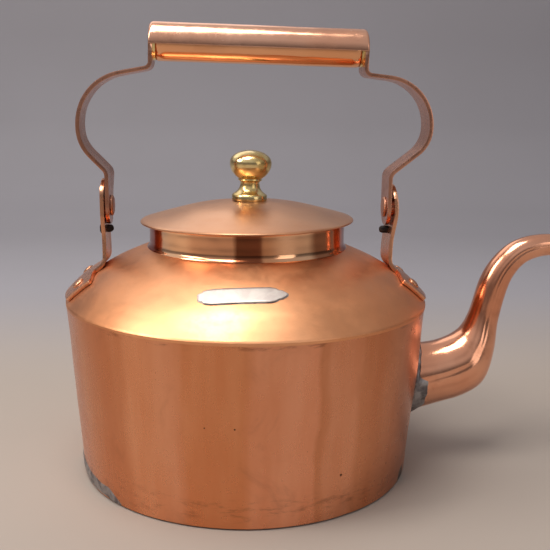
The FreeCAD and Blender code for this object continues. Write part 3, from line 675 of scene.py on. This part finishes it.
def body_wall():
    """The rolled wall, tinned inside, with the hole for the spout."""
    rows = 48
    heights = [WALL_LIFT + (EDGE_Z - 1.6 - WALL_LIFT) * k / rows for k in range(rows + 1)]
    outer = [(wall_radius(z), z) for z in heights]
    inner = [(r - SHEET, z) for r, z in reversed(outer)]
    slots = [0] * (rows + 1) + [1] * rows + [0]
    uneven = hand_made(0.28, 55.0, 1.0, WALL_DENTS)

    def shape(point):
        swell = spout_swell(point.y, point.z) if point.x > 0 else 0
        return widened(uneven(point), 1 + swell / hypot(point.x, point.y))
    wall = lathe("body_wall_sheet", outer + inner, [BODY, TIN], 256, slots, shape)
    cutter = tube("spout_hole", spline(SPOUT_SECTIONS[:3], 6), 48)
    cut = wall.modifiers.new("hole", "BOOLEAN")
    cut.operation = "DIFFERENCE"
    cut.object = cutter
    cut.solver = "EXACT"
    apply_modifiers(wall)
    bpy.data.objects.remove(cutter)
    wall.data.set_sharp_from_angle(angle=radians(40))
    settle(wall, "kettle", "body_copper", "body_wall")


def shoulder():
    """The raised dome, its edge dressed down over the wall."""
    hem = EDGE_Z - 2.0
    outer = [(wall_radius(hem) + 0.25, hem), (EDGE_RADIUS + 0.15, EDGE_Z - 1.1),
             (EDGE_RADIUS + 0.15, EDGE_Z - 0.5)] + SHOULDER_CURVE[1:]
    inner = offset_line(SHOULDER_CURVE, SHEET)
    loop = outer + list(reversed(inner)) + [(wall_radius(hem) - 0.6, hem)]
    slots = [0] * len(outer) + [1] * (len(inner) + 1)
    shape = hand_made(0.22, 38.0, 2.0, SHOULDER_DENTS)
    dome = lathe("shoulder_dome", loop, [SHOULDER, TIN], 256, slots, shape, sharp=28)
    settle(dome, "kettle", "body_copper", "shoulder")


def lid_tilt(x, z):
    """How far the collar's slanting rim lifts a point; the foot of the collar stays level."""
    share = min(1.0, max(0.0, (z - NECK_FOOT_Z) / (NECK_TOP_Z - NECK_FOOT_Z)))
    return x * tan(radians(LID_TILT)) * share


def tilted(uneven, height=None):
    """A shape for a turned piece: uneven, and slanting as the collar's rim does."""
    def shape(point):
        return uneven(point) + Vector((0, 0, lid_tilt(point.x, point.z if height is None else height)))
    return shape


def neck():
    """The collar, with a small turned-out edge on top."""
    top = NECK_TOP_Z - 0.05
    seat = SHOULDER_LINE[-1][1]
    flange = [(0, NECK_FOOT_Z - seat), (1.2, -0.9), (1.5, -0.3), (1.2, 0.3), (0.6, 0.8), (0.15, 1.6)]
    flange += [(0.03 * sin(k * 0.9), 2.4 + (top - 3.4 - seat) * k / 12) for k in range(1, 13)]
    loop = [(NECK_RADIUS + out, seat + z) for out, z in flange]
    loop += [(NECK_RADIUS + 0.3, top - 0.5), (NECK_RADIUS + 0.1, top)]
    loop += [(NECK_RADIUS - SHEET, top), (NECK_RADIUS - SHEET, NECK_FOOT_Z)]
    slots = [0] * (len(loop) - 2) + [1, 0]
    shape = tilted(hand_made(0.06, 16.0, 3.0))
    ring = lathe("neck_collar_ring", loop, [COLLAR, TIN], 256, slots, shape, sharp=50)
    settle(ring, "kettle", "polished_copper", "neck_collar")


# ---- spout ----

def crease_depth(x, z, angle):
    """Depth of the hammered creases that run along the spout, at an angle round it."""
    depth = 0.0
    for centre, width, deep, seed in SPOUT_CREASES:
        drift = centre + 7 * wander((x, 0, z), 45.0, seed)
        off = (angle - drift + 180) % 360 - 180
        fade = (0.45 + 0.7 * wander((x, 0, z), 18.0, seed + 3)) * min(1.0, max(0.3, (186 - x) / 20))
        depth += max(0.0, fade) * deep * exp(-(off / width) ** 2)
    return depth


def section_point(row, angle, grow=0.0):
    """A point on one (x, z, half height, half width, tilt) section, at an angle round it."""
    x, z, high, wide, tilt = row
    up = Vector((-sin(radians(tilt)), 0, cos(radians(tilt))))
    across = Vector((0, (wide + grow) * cos(angle), 0))
    return Vector((x, 0, z)) + up * ((high + grow) * sin(angle)) + across


def tube(name, rows, columns_round, materials=(), sheet=0.0):
    """A tube through a row of sections: solid, or of creased sheet round an open bore."""
    def ring(row, grow):
        out = []
        for j in range(columns_round):
            angle = 2 * pi * j / columns_round
            sunk = crease_depth(row[0], row[1], degrees(angle)) if sheet else 0.0
            out.append(section_point(row, angle, grow - sunk))
        return out
    rings = [ring(row, 0.0) for row in rows]
    if sheet:
        rings += [ring(row, -sheet) for row in reversed(rows)]
    verts = [p for one in rings for p in one]
    faces = grid_faces(len(rings), columns_round, bool(sheet), True)
    if not sheet:
        faces += [tuple(range(columns_round)), tuple(range(len(verts) - columns_round, len(verts)))]
        return new_piece(name, verts, faces, materials)
    runs = [0] * len(rows) + [1] * (len(rows) - 1) + [0]
    return new_piece(name, verts, faces, materials, [slot for slot in runs for _ in range(columns_round)])


def spout():
    """The swan neck, rolled outwards at its tip."""
    rows = []
    for x, z, high, wide, tilt in spline(SPOUT_SECTIONS, 14):
        ripple = 0.12 * wander((x, 0, z), 13.0, 4.0)
        if x > SPOUT_START:
            rows.append((x, z, high + ripple, wide + ripple, tilt))
    x, z, high, wide, tilt = rows[-1]
    turn = radians(tilt)
    for step, grow in SPOUT_LIP:
        rows.append((x + cos(turn) * step, z + sin(turn) * step, high + grow, wide + grow, tilt))
    piece = tube("spout_tube", rows, 144, [SPOUT, TIN], SPOUT_SHEET)
    settle(piece, "kettle", "polished_copper", "spout", "spout_lip")


def spout_root_solder():
    """A lumpy fillet round the joint, spread wide along the spout low on its front side."""
    count = 120
    across = 9
    rows = spline(SPOUT_SECTIONS[:3], 60)
    verts = []
    for j in range(count):
        phi = 2 * pi * j / count
        line = [section_point(row, phi) for row in rows]
        start = next(i for i, p in enumerate(line)
                     if hypot(p.x, p.y) > wall_radius(p.z) + spout_swell(p.y, p.z))
        root = line[start]
        along = (line[start + 4] - root).normalized()
        outward = Vector((0, cos(phi), sin(phi)))
        wall_out = Vector((root.x, root.y, 0)).normalized()
        on_wall = (outward - wall_out * outward.dot(wall_out)).normalized()
        lower = 0.5 - 0.5 * tanh(9 * (sin(phi) - 0.12))
        front = min(1.0, 1.5 * max(0.0, -cos(phi))) * lower
        low = max(0.0, -sin(phi)) ** 3
        reach = 2.1 + 7.4 * max(front, 0.3 * low) + 0.5 * wander(root, 5.0, 6.0)
        grip = 0.9 + 1.0 * low + 0.4 * wander(root, 6.0, 9.0)
        bulge = 0.7 + 0.3 * wander(root, 4.0, 11.0)
        a = root + on_wall * grip - wall_out * 0.35
        b = root + along * reach - outward * 0.25
        corner = root + (outward + wall_out).normalized() * bulge
        for k in range(across - 1):
            t = k / (across - 2)
            point = curved(a, corner, b, t)
            lift = 0.55 * sin(pi * t)
            verts.append(point + (outward + wall_out * (1 - t)).normalized() * lift)
        verts.append(root - outward * 0.8 - wall_out * 0.8)
    faces = grid_faces(count, across, True, True)
    piece = new_piece("spout_root_solder", verts, faces, [SOLDER], sharp=70)
    settle(piece, "kettle", "solder", "spout_root_ring", "spout_root_patch")


def base_edge_solder():
    """Grey solder wiped over the bottom edge, at the left front."""
    rows = []
    start, end = BASE_PATCH
    for i in range(61):
        t = i / 60
        azimuth = radians(start + (end - start) * t)
        top = 11.0 - 3.2 * t + 1.2 * wander((t * 60, 0, 0), 7.0, 2.0)
        top *= min(1.0, 6 * (1 - t) + 0.25)
        bottom = WALL_LIFT + max(0.0, 3.4 * sin(pi * min(1.0, t / 0.55)) ** 2 - 0.6)
        line = []
        for k in range(9):
            s = k / 8
            z = bottom + (top - bottom) * s
            edge = min(s, 1 - s, 3 * t, 3 * (1 - t)) * 4
            lift = 0.12 + 0.5 * min(1.0, edge) + 0.18 * wander((t * 60, z, 3), 4.0, 5.0)
            line.append(polar(wall_radius(z) + lift, azimuth, z))
        rows.append(line)
    piece = thick_sheet("base_edge_solder", rows, 0.9, [SOLDER], side=-1)
    settle(piece, "kettle", "solder", "base_edge_patch")


# ---- name plate ----

def plate_rows(grow, lift):
    """Rows across the plate's outline grown all round, lifted off the shoulder."""
    width, depth = PLATE_SIZE
    lines = []
    for i in range(61):
        t = i / 60
        high = lookup(PLATE_OUTLINE, 0, t) * depth / 2 + grow
        x = PLATE_AT[0] + (t - 0.5) * (width + 2 * grow)
        line = []
        for k in range(9):
            y = PLATE_AT[1] + PLATE_BOW * (2 * t - 1) ** 2 + high * (k / 4 - 1)
            line.append(above_dome(x, y, lift + 0.08 * wander((x, y, 0), 9.0, 3.0)))
        lines.append(line)
    return lines


def name_plate():
    """The blank plate, with a blunt left end and a pointed right end, on a thin solder bed."""
    plate = thick_sheet("name_plate_blank", plate_rows(0.0, 0.75), 0.7, [WHITE_METAL], side=-1)
    soften(plate, 0.15, 1)
    bed = thick_sheet("name_plate_solder", plate_rows(0.35, 0.3), 0.5, [SOLDER], side=-1)
    settle(plate, "kettle", "white_metal", "name_plate")
    settle(bed, "kettle", "solder")


# ---- lugs, rivets and pins ----

COLUMNS = 16


def columns():
    """Cosine and sine of each column across a strap, from its near edge to its far edge."""
    angles = [pi * j / COLUMNS for j in range(COLUMNS + 1)]
    return [(-cos(a), sin(a)) for a in angles]


def foot_point(radius, y, side):
    """A point on the outer face of a lug's foot, which lies on the shoulder."""
    spread = y / FOOT_HALF_WIDTH
    lift = LUG_SHEET + 0.15 + 0.3 * spread * spread + 0.1 * wander((radius, y, 0), 9.0, side)
    return above_dome(sqrt(radius * radius - y * y), y, lift)


def lug_outside(side, z):
    """Distance out along X of a lug's outer face at a height."""
    return lookup(spline(LUG_LINES[side], 8), 1, z)


def lug(side, end):
    """The bowed blade and its wide foot, as one sheet."""
    centre_z = LUG_TOP_Z[side] - LUG_TOP_RADIUS
    heights = []
    for a in range(3, 64, 4):
        turn = radians(a)
        heights.append((centre_z + LUG_TOP_RADIUS * cos(turn), LUG_TOP_RADIUS * sin(turn)))
    heights += [(z, lookup(LUG_WIDTHS, 0, z)) for z in range(165, 128, -2)]
    rows = [[Vector((lug_outside(side, z), half * c, z)) for c, _ in columns()] for z, half in heights]
    foot = []
    for i in range(25):
        radius = FOOT_START + (FOOT_END - FOOT_START) * i / 24
        half = lookup(FOOT_WIDTHS, 0, radius)
        foot.append([foot_point(radius, half * c, side) for c, _ in columns()])
    blade = rows[-1]
    for k in range(1, 8):
        t = k / 8
        row = []
        for a, b in zip(blade, foot[0]):
            y = (a.y + b.y) / 2
            corner = foot_point(hypot(a.x, y) - 1.4, y, side)
            corner.x = a.x
            row.append(curved(a, corner, b, t))
        rows.append(row)
    rows += foot
    if side < 0:
        rows = [[Vector((-p.x, p.y, p.z)) for p in row] for row in rows]
    piece = thick_sheet("lug_plate_" + end, rows, LUG_SHEET, [LUG], side=-side)
    soften(piece, 0.45)
    settle(piece, "kettle", "handle_copper", "lug_" + end)


def hammered_head(name, seed):
    """A foot rivet's head with its shank below it, a little out of round."""
    radius, height, depth = FOOT_RIVET_SIZE
    loop = [(0, -depth), (radius * 0.5, -depth), (radius * 0.5, 0), (radius, 0)]
    loop.append((radius * 1.02, height * 0.25))
    for a in range(15, 90, 15):
        turn = radians(a)
        loop.append((radius * cos(turn), height * (0.25 + 0.75 * sin(turn))))
    loop.append((0, height))

    def shape(point):
        lift = point.z * 0.06 * wander(point, radius / 2, seed + 2)
        return widened(point, 1 + 0.05 * wander(point, radius, seed), lift)
    return lathe(name, loop, [LUG], 40, shape=shape, sharp=60)


def foot_rivet(side, end, turn, place):
    """A rivet square to the shoulder, to one side of the lug."""
    out, up = dome_normal(FOOT_RIVET_AT)
    azimuth = radians(turn * FOOT_RIVET_TURN)
    x, y = side * cos(azimuth), sin(azimuth)
    normal = Vector((x * out, y * out, up))
    place_at = above_dome(x * FOOT_RIVET_AT, y * FOOT_RIVET_AT, LUG_SHEET + 0.3)
    head = hammered_head("foot_rivet_head_%s_%s" % (end, place), 3.0 + side + turn / 2)
    turned = Vector((0, 0, 1)).rotation_difference(normal).to_matrix().to_4x4()
    head.data.transform(Matrix.Translation(place_at * MM) @ turned)
    settle(head, "kettle", "handle_copper", "foot_rivet_%s_%s" % (end, place))


def cross_pin(name, loop, material, segments, shape, side, z):
    """A piece turned about X at a height, mirrored for the rear side."""
    piece = lathe(name, loop, [material], segments, shape=shape, axis="X", sharp=50)
    piece.data.transform(Matrix.Translation((0, 0, z * MM)))
    if side < 0:
        piece.data.transform(Matrix.Scale(-1, 4, (1, 0, 0)))
        piece.data.flip_normals()
    return piece


def pivot_rivet(side, end):
    """Flat round head inside the bail, its shank, and the hammered end outside the lug."""
    inner = ARM_LINES[side][-1][0] - STRAP - 0.15
    outer = lug_outside(side, PIVOT_Z)
    face = inner - RIVET_HEIGHTS[side]
    loop = [(0, face), (4.6, face + 0.05), (5.6, face + 0.35), (6.1, face + 0.9)]
    loop += [(6.1, inner - 0.1), (5.9, inner), (3.0, inner)]
    loop += [(3.0, outer), (4.5, outer), (4.3, outer + 0.7), (3.2, outer + 1.15), (0, outer + 1.3)]

    def shape(point):
        return widened(point, 1 + 0.03 * wander(point, 5.0, 8.0 + side))
    piece = cross_pin("pivot_rivet_body_" + end, loop, DULL, 48, shape, side, PIVOT_Z)
    settle(piece, "kettle", "handle_copper", "pivot_rivet_" + end)


def stop_pin(side, end):
    """Black iron pin, roughly cut at its inner end and hammered at its outer end."""
    z = PIVOT_Z - STOP_DROP
    outer = lug_outside(side, z)
    tip = outer - LUG_SHEET - STOP_REACH[side]
    loop = [(0, tip), (0.9, tip + 0.12), (1.7, tip + 0.55), (2.2, tip + 1.3), (2.35, tip + 2.5)]
    loop += [(2.35, outer - 0.2), (3.5, outer + 0.1), (3.3, outer + 1.5)]
    loop += [(1.8, outer + 2.3), (0, outer + 2.4)]

    def shape(point):
        square = 1 - 0.08 * cos(4 * atan2(point.y, point.x))
        push = square + 0.08 * wander(point, 1.8, 5.0 + side)
        return widened(point, push, 0.3 * wander(point, 2.0, side))
    piece = cross_pin("stop_pin_body_" + end, loop, IRON, 40, shape, side, z)
    settle(piece, "kettle", "iron", "stop_pin_" + end)


# ---- bail ----

FLAT_COLUMNS = 0.96


def arc_columns():
    """Sideways and upward parts across the half-round saddle, with its two skirts."""
    drop = -SADDLE_SKIRT / SADDLE_RADIUS
    return [(-1.0, drop)] + columns() + [(1.0, drop)]


def flat_columns():
    """Sideways parts across the flat strap, one for each column of the saddle."""
    return [-1.0] + [FLAT_COLUMNS * c for c, _ in columns()] + [1.0]


def sloped(x, y, rise):
    """A point by the level grip, rise above its middle line, turned down to the grip's slope."""
    centre = sum(GRIP_ENDS) / 2
    turn = radians(GRIP_SLOPE)
    along = x - centre
    return Vector((centre + along * cos(turn) + rise * sin(turn), y,
                   GRIP_Z - along * sin(turn) + rise * cos(turn)))


def saddle_rows(depth):
    """Rows along the saddle, depth inside its outer face, between its rounded corners."""
    def point(x, c, s):
        radius = SADDLE_RADIUS - depth + 0.13 * wander((x, 9 * c, 9 * s), 12.0, 14.0)
        return sloped(x, radius * c, radius * s)
    start, end = GRIP_ENDS[0] + 5.0, GRIP_ENDS[1] - 5.0
    stations = [start + (end - start) * k / 40 for k in range(41)]
    return [[point(x, c, s) for c, s in arc_columns()] for x in stations]


def end_wall_rows(side, depth, wall, corner):
    """Rows from a saddle's rounded end down its half-round end wall to the flat strap."""
    end = GRIP_ENDS[side > 0] - side * wall
    radius = SADDLE_RADIUS - depth
    rows = []
    for a in range(0, 91, 15):
        turn = radians(a)
        row = []
        for c, s in arc_columns():
            bend = corner * (0.3 + 0.7 * max(0.0, s))
            reach = radius - bend * (1 - cos(turn))
            row.append(sloped(end - side * bend * (1 - sin(turn)), reach * c, reach * s))
        rows.append(row)
    for k in range(1, 8):
        t = k / 8
        row = []
        for (c, s), flat in zip(arc_columns(), flat_columns()):
            reach = radius - corner * (0.3 + 0.7 * max(0.0, s))
            y = reach * c * (1 - t) + STRAP_HALF_WIDTH * flat * t
            row.append(sloped(end, y, reach * s * (1 - t) - 5.0 * t))
        rows.append(row)
    return rows


def arm_path(side):
    """The outer line of one arm, from the end wall to the pivot, as (distance, height) points."""
    corners = []
    for rise, bend in ((-5.0, 0), (-STEP_DROP, STEP_BEND)):
        point = sloped(GRIP_ENDS[side > 0], 0, rise)
        corners.append((abs(point.x), point.z, bend))
    path = fillet_path(corners + ARM_LINES[side])
    points = []
    for a, b in zip(path, path[1:]):
        cuts = max(1, int((b - a).length / 3.5))
        points += [a.lerp(b, k / cuts) for k in range(cuts)]
    points.append(path[-1])
    return [(p.x, p.y) for p in points]


def arm_rows(side, depth):
    """Rows across one arm, depth inside its outer face, down to its round lower end."""
    path = arm_path(side)
    line = offset_line(path, -depth) if depth else path
    rows = []
    for (x, z), (outer_x, outer_z) in zip(line, path):
        drift = 0.15 * wander((outer_x * side, 0, outer_z), 20.0, 12.0)
        twist = 0.0
        if side < 0 and outer_z < 196:
            twist = 0.9 * min(1.0, (196 - outer_z) / 10) * min(1.0, max(0.0, (outer_z - 165) / 12))
        rows.append([Vector((side * (x - twist * max(0.0, c)), STRAP_HALF_WIDTH * c, z + drift * c))
                     for c in flat_columns()])
    x, z = line[-1]
    for a in range(6, 88, 6):
        half = STRAP_HALF_WIDTH * cos(radians(a))
        low = PIVOT_Z - STRAP_HALF_WIDTH * sin(radians(a))
        rows.append([Vector((side * x, half * c, low)) for c in flat_columns()])
    return rows


def bail_strap():
    """One strip: rear arm, half-round saddle over the grip, front arm."""
    faces = []
    for depth, wall, corner in ((0.0, 0.0, SADDLE_CORNER), (SADDLE_SHEET, STRAP, 0.9)):
        rear = end_wall_rows(-1, depth, wall, corner) + arm_rows(-1, wall)
        front = end_wall_rows(1, depth, wall, corner) + arm_rows(1, wall)
        faces.append(list(reversed(rear)) + saddle_rows(depth) + front)
    piece = closed_sheet("bail_strip", faces[0], faces[1], [HANDLE, SADDLE])
    soften(piece, 0.35)
    for face in piece.data.polygons:
        if face.center.z > (GRIP_Z - 4) * MM:
            face.material_index = 1
    settle(piece, "bail", "handle_copper", "bail_strap")


def grip_tube():
    """Polished tube under the saddle, its ends turned in."""
    start = GRIP_ENDS[0] + STRAP + TUBE_GAP
    end = GRIP_ENDS[1] - STRAP - TUBE_GAP
    bore = TUBE_RADIUS - TUBE_SHEET - 1.2
    loop = [(TUBE_RADIUS - 1.6, start), (TUBE_RADIUS - 0.6, start + 0.3), (TUBE_RADIUS, start + 1.3)]
    loop += [(TUBE_RADIUS, start + 1.3 + (end - start - 2.6) * k / 24) for k in range(1, 24)]
    loop += [(TUBE_RADIUS, end - 1.3), (TUBE_RADIUS - 0.6, end - 0.3), (TUBE_RADIUS - 1.6, end)]
    loop += [(bore, end - 0.2), (bore, start + 0.2)]
    shape = hand_made(0.12, 12.0, 15.0)
    piece = lathe("grip_tube_body", loop, [POLISHED], 72, shape=shape, axis="X", sharp=50)
    for vertex in piece.data.vertices:
        x, y, z = vertex.co / MM
        vertex.co = sloped(x, y, z) * MM
    settle(piece, "bail", "polished_copper", "grip_tube")


# ---- lid ----

def lid_dome():
    """The dished lid, with its turned edge."""
    top = spline(LID_LINE, 10)
    under = [(NECK_RADIUS - SHEET - 1, NECK_TOP_Z)] + offset_line(top, LID_SHEET)[6:]
    edge = [(LID_RADIUS - 0.3, NECK_TOP_Z + 0.02), (LID_RADIUS + 0.1, NECK_TOP_Z + 0.35),
            (LID_RADIUS + 0.1, NECK_TOP_Z + 0.95), (LID_RADIUS - 0.5, NECK_TOP_Z + LID_EDGE + 0.1)]
    loop = edge + top[1:] + [(0, LID_TOP_Z), (0, LID_TOP_Z - LID_SHEET)] + list(reversed(under))
    slots = [0] * (len(edge) + len(top) - 1) + [1] * (len(under) + 2)
    uneven = hand_made(0.12, 30.0, 20.0)

    def shape(point):
        lift = 0.22 * wander(point, 26.0, 21.0) + lid_tilt(point.x, NECK_TOP_Z)
        return uneven(point) + Vector((0, 0, lift))
    piece = lathe("lid_dish", loop, [LID, TIN], 224, slots, shape, sharp=32)
    settle(piece, "lid", "body_copper", "lid_dome")


def lid_skirt():
    """The ring under the lid that drops into the collar."""
    top = NECK_TOP_Z + 1.0
    bottom = NECK_TOP_Z - SKIRT_DEPTH
    inside = SKIRT_RADIUS - SKIRT_SHEET
    loop = [(SKIRT_RADIUS, top), (SKIRT_RADIUS, bottom + 0.5), (SKIRT_RADIUS - 0.4, bottom)]
    loop += [(inside, bottom + 0.2), (inside, top)]
    shape = tilted(hand_made(0.05, 20.0, 23.0), NECK_TOP_Z)
    piece = lathe("lid_skirt_ring", loop, [POLISHED, TIN], 200, [0, 0, 1, 1, 0], shape, sharp=50)
    settle(piece, "lid", "polished_copper", "lid_skirt")


def knob():
    """Turned ball on a waisted neck and a flared foot, leaning a little."""
    loop = [(0, LID_TOP_Z - 0.3)] + [(r, LID_TOP_Z + z) for r, z in KNOB_FOOT]
    for i in range(28):
        angle = radians(-56 + 146 * i / 28)
        rise = sin(angle) * (KNOB_TOP_Z - KNOB_BALL_Z if angle > 0 else KNOB_BALL_DROP)
        loop.append((KNOB_BALL_RADIUS * cos(angle), KNOB_BALL_Z + rise))
    loop.append((0, KNOB_TOP_Z))
    uneven = hand_made(0.12, 7.0, 30.0)
    lean = tan(radians(KNOB_LEAN))

    def shape(point):
        moved = uneven(point)
        shift = KNOB_SHIFT + lean * (moved.z - LID_TOP_Z)
        return Vector((moved.x + shift, moved.y, moved.z + 0.5 - lean * moved.x))
    piece = lathe("knob_turned", loop, [BRASS], 96, shape=shape, sharp=38)
    settle(piece, "lid", "knob_brass", "knob")


# ---- pieces kept as they were built ----

def finish_kept_pieces():
    """Gives each piece that hasn't been replaced its own worked material."""
    finishes = (
        (DARKENED_BASE, ["base_plate"]),
        (SOLDER, ["base_solder_bead", "shoulder_solder_bead", "neck_solder_bead"]),
        (TIN, ["side_seam_strip"]),
        (HANDLE, ["knob_washer", "pivot_washer_rear", "pivot_washer_front"]),
        (BRASS, ["knob_stud", "grip_braze_rear", "grip_braze_front"]),
    )
    for material, nodes in finishes:
        for node in nodes:
            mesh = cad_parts[node].data
            mesh.materials.clear()
            mesh.materials.append(material)


# ---- stage ----

def camera():
    """The camera, its turn built up from yaw, pitch and roll."""
    yaw, pitch, roll = (radians(a) for a in CAMERA_TURN)
    level = Matrix.Rotation(-yaw, 4, "Z") @ Matrix.Rotation(pi / 2 + pitch, 4, "X")
    data = bpy.data.cameras.new("camera")
    data.lens = CAMERA_LENS
    data.sensor_width = CAMERA_SENSOR
    data.clip_start = 0.01
    cam = bpy.data.objects.new("camera", data)
    cam.matrix_world = Matrix.Translation(Vector(CAMERA_AT) * MM) @ level @ Matrix.Rotation(roll, 4, "Z")
    bpy.context.scene.collection.objects.link(cam)
    bpy.context.scene.camera = cam


def area_light(name, at, aim_z, size, power, color):
    """A soft rectangular light aimed at a height on the kettle's axis."""
    data = bpy.data.lights.new(name, "AREA")
    data.shape = "RECTANGLE"
    data.size, data.size_y = size
    data.energy = power
    data.color = color
    lamp = bpy.data.objects.new(name, data)
    lamp.location = at
    lamp.rotation_euler = (Vector((0, 0, aim_z)) - Vector(at)).to_track_quat("-Z", "Y").to_euler()
    bpy.context.scene.collection.objects.link(lamp)


def floor():
    """A pale matt floor that curves up into a grey backdrop."""
    n = Nodes(bpy.data.materials.new("pale_floor"))
    color = n.mix(n.ramp(n.axis("Y"), 0.1, 0.5), FLOOR_NEAR, FLOOR_FAR)
    color = n.mix(n.ramp(n.noise(3.0, 3.0), 0.3, 0.7, 0.0, 0.08), color, (0.2, 0.18, 0.17))
    verts = [Vector((x, y, z)) / MM for y, z in BACKDROP for x in (-3.0, -1.0, 1.0, 3.0)]
    surface = n.finish(color, 0.7, metallic=0.0)
    new_piece("studio_floor", verts, grid_faces(len(BACKDROP), 4), [surface])


def sky():
    """Soft surrounding light, darker low down and towards +X."""
    world = bpy.data.worlds.new("studio")
    n = Nodes(world, "Generated")
    background = n.tree.nodes["Background"]
    n.plug(n.mix(n.ramp(n.axis("Z"), 0.05, 0.6), SKY_LOW, SKY_HIGH), background, "Color")
    n.plug(n.ramp(n.axis("X"), 0.9, -0.7, 0.65, 1.15), background, "Strength")
    bpy.context.scene.world = world
    bpy.context.scene.view_settings.view_transform = "Standard"


camera()
floor()
sky()
for name, light in LIGHTS.items():
    area_light(name, *light)
body_wall()
shoulder()
neck()
spout()
spout_root_solder()
base_edge_solder()
name_plate()
for side, end in ((-1, "rear"), (1, "front")):
    lug(side, end)
    for turn, place in ((-1, "near"), (1, "far")):
        foot_rivet(side, end, turn, place)
    pivot_rivet(side, end)
    stop_pin(side, end)
bail_strap()
grip_tube()
lid_dome()
lid_skirt()
knob()
finish_kept_pieces()
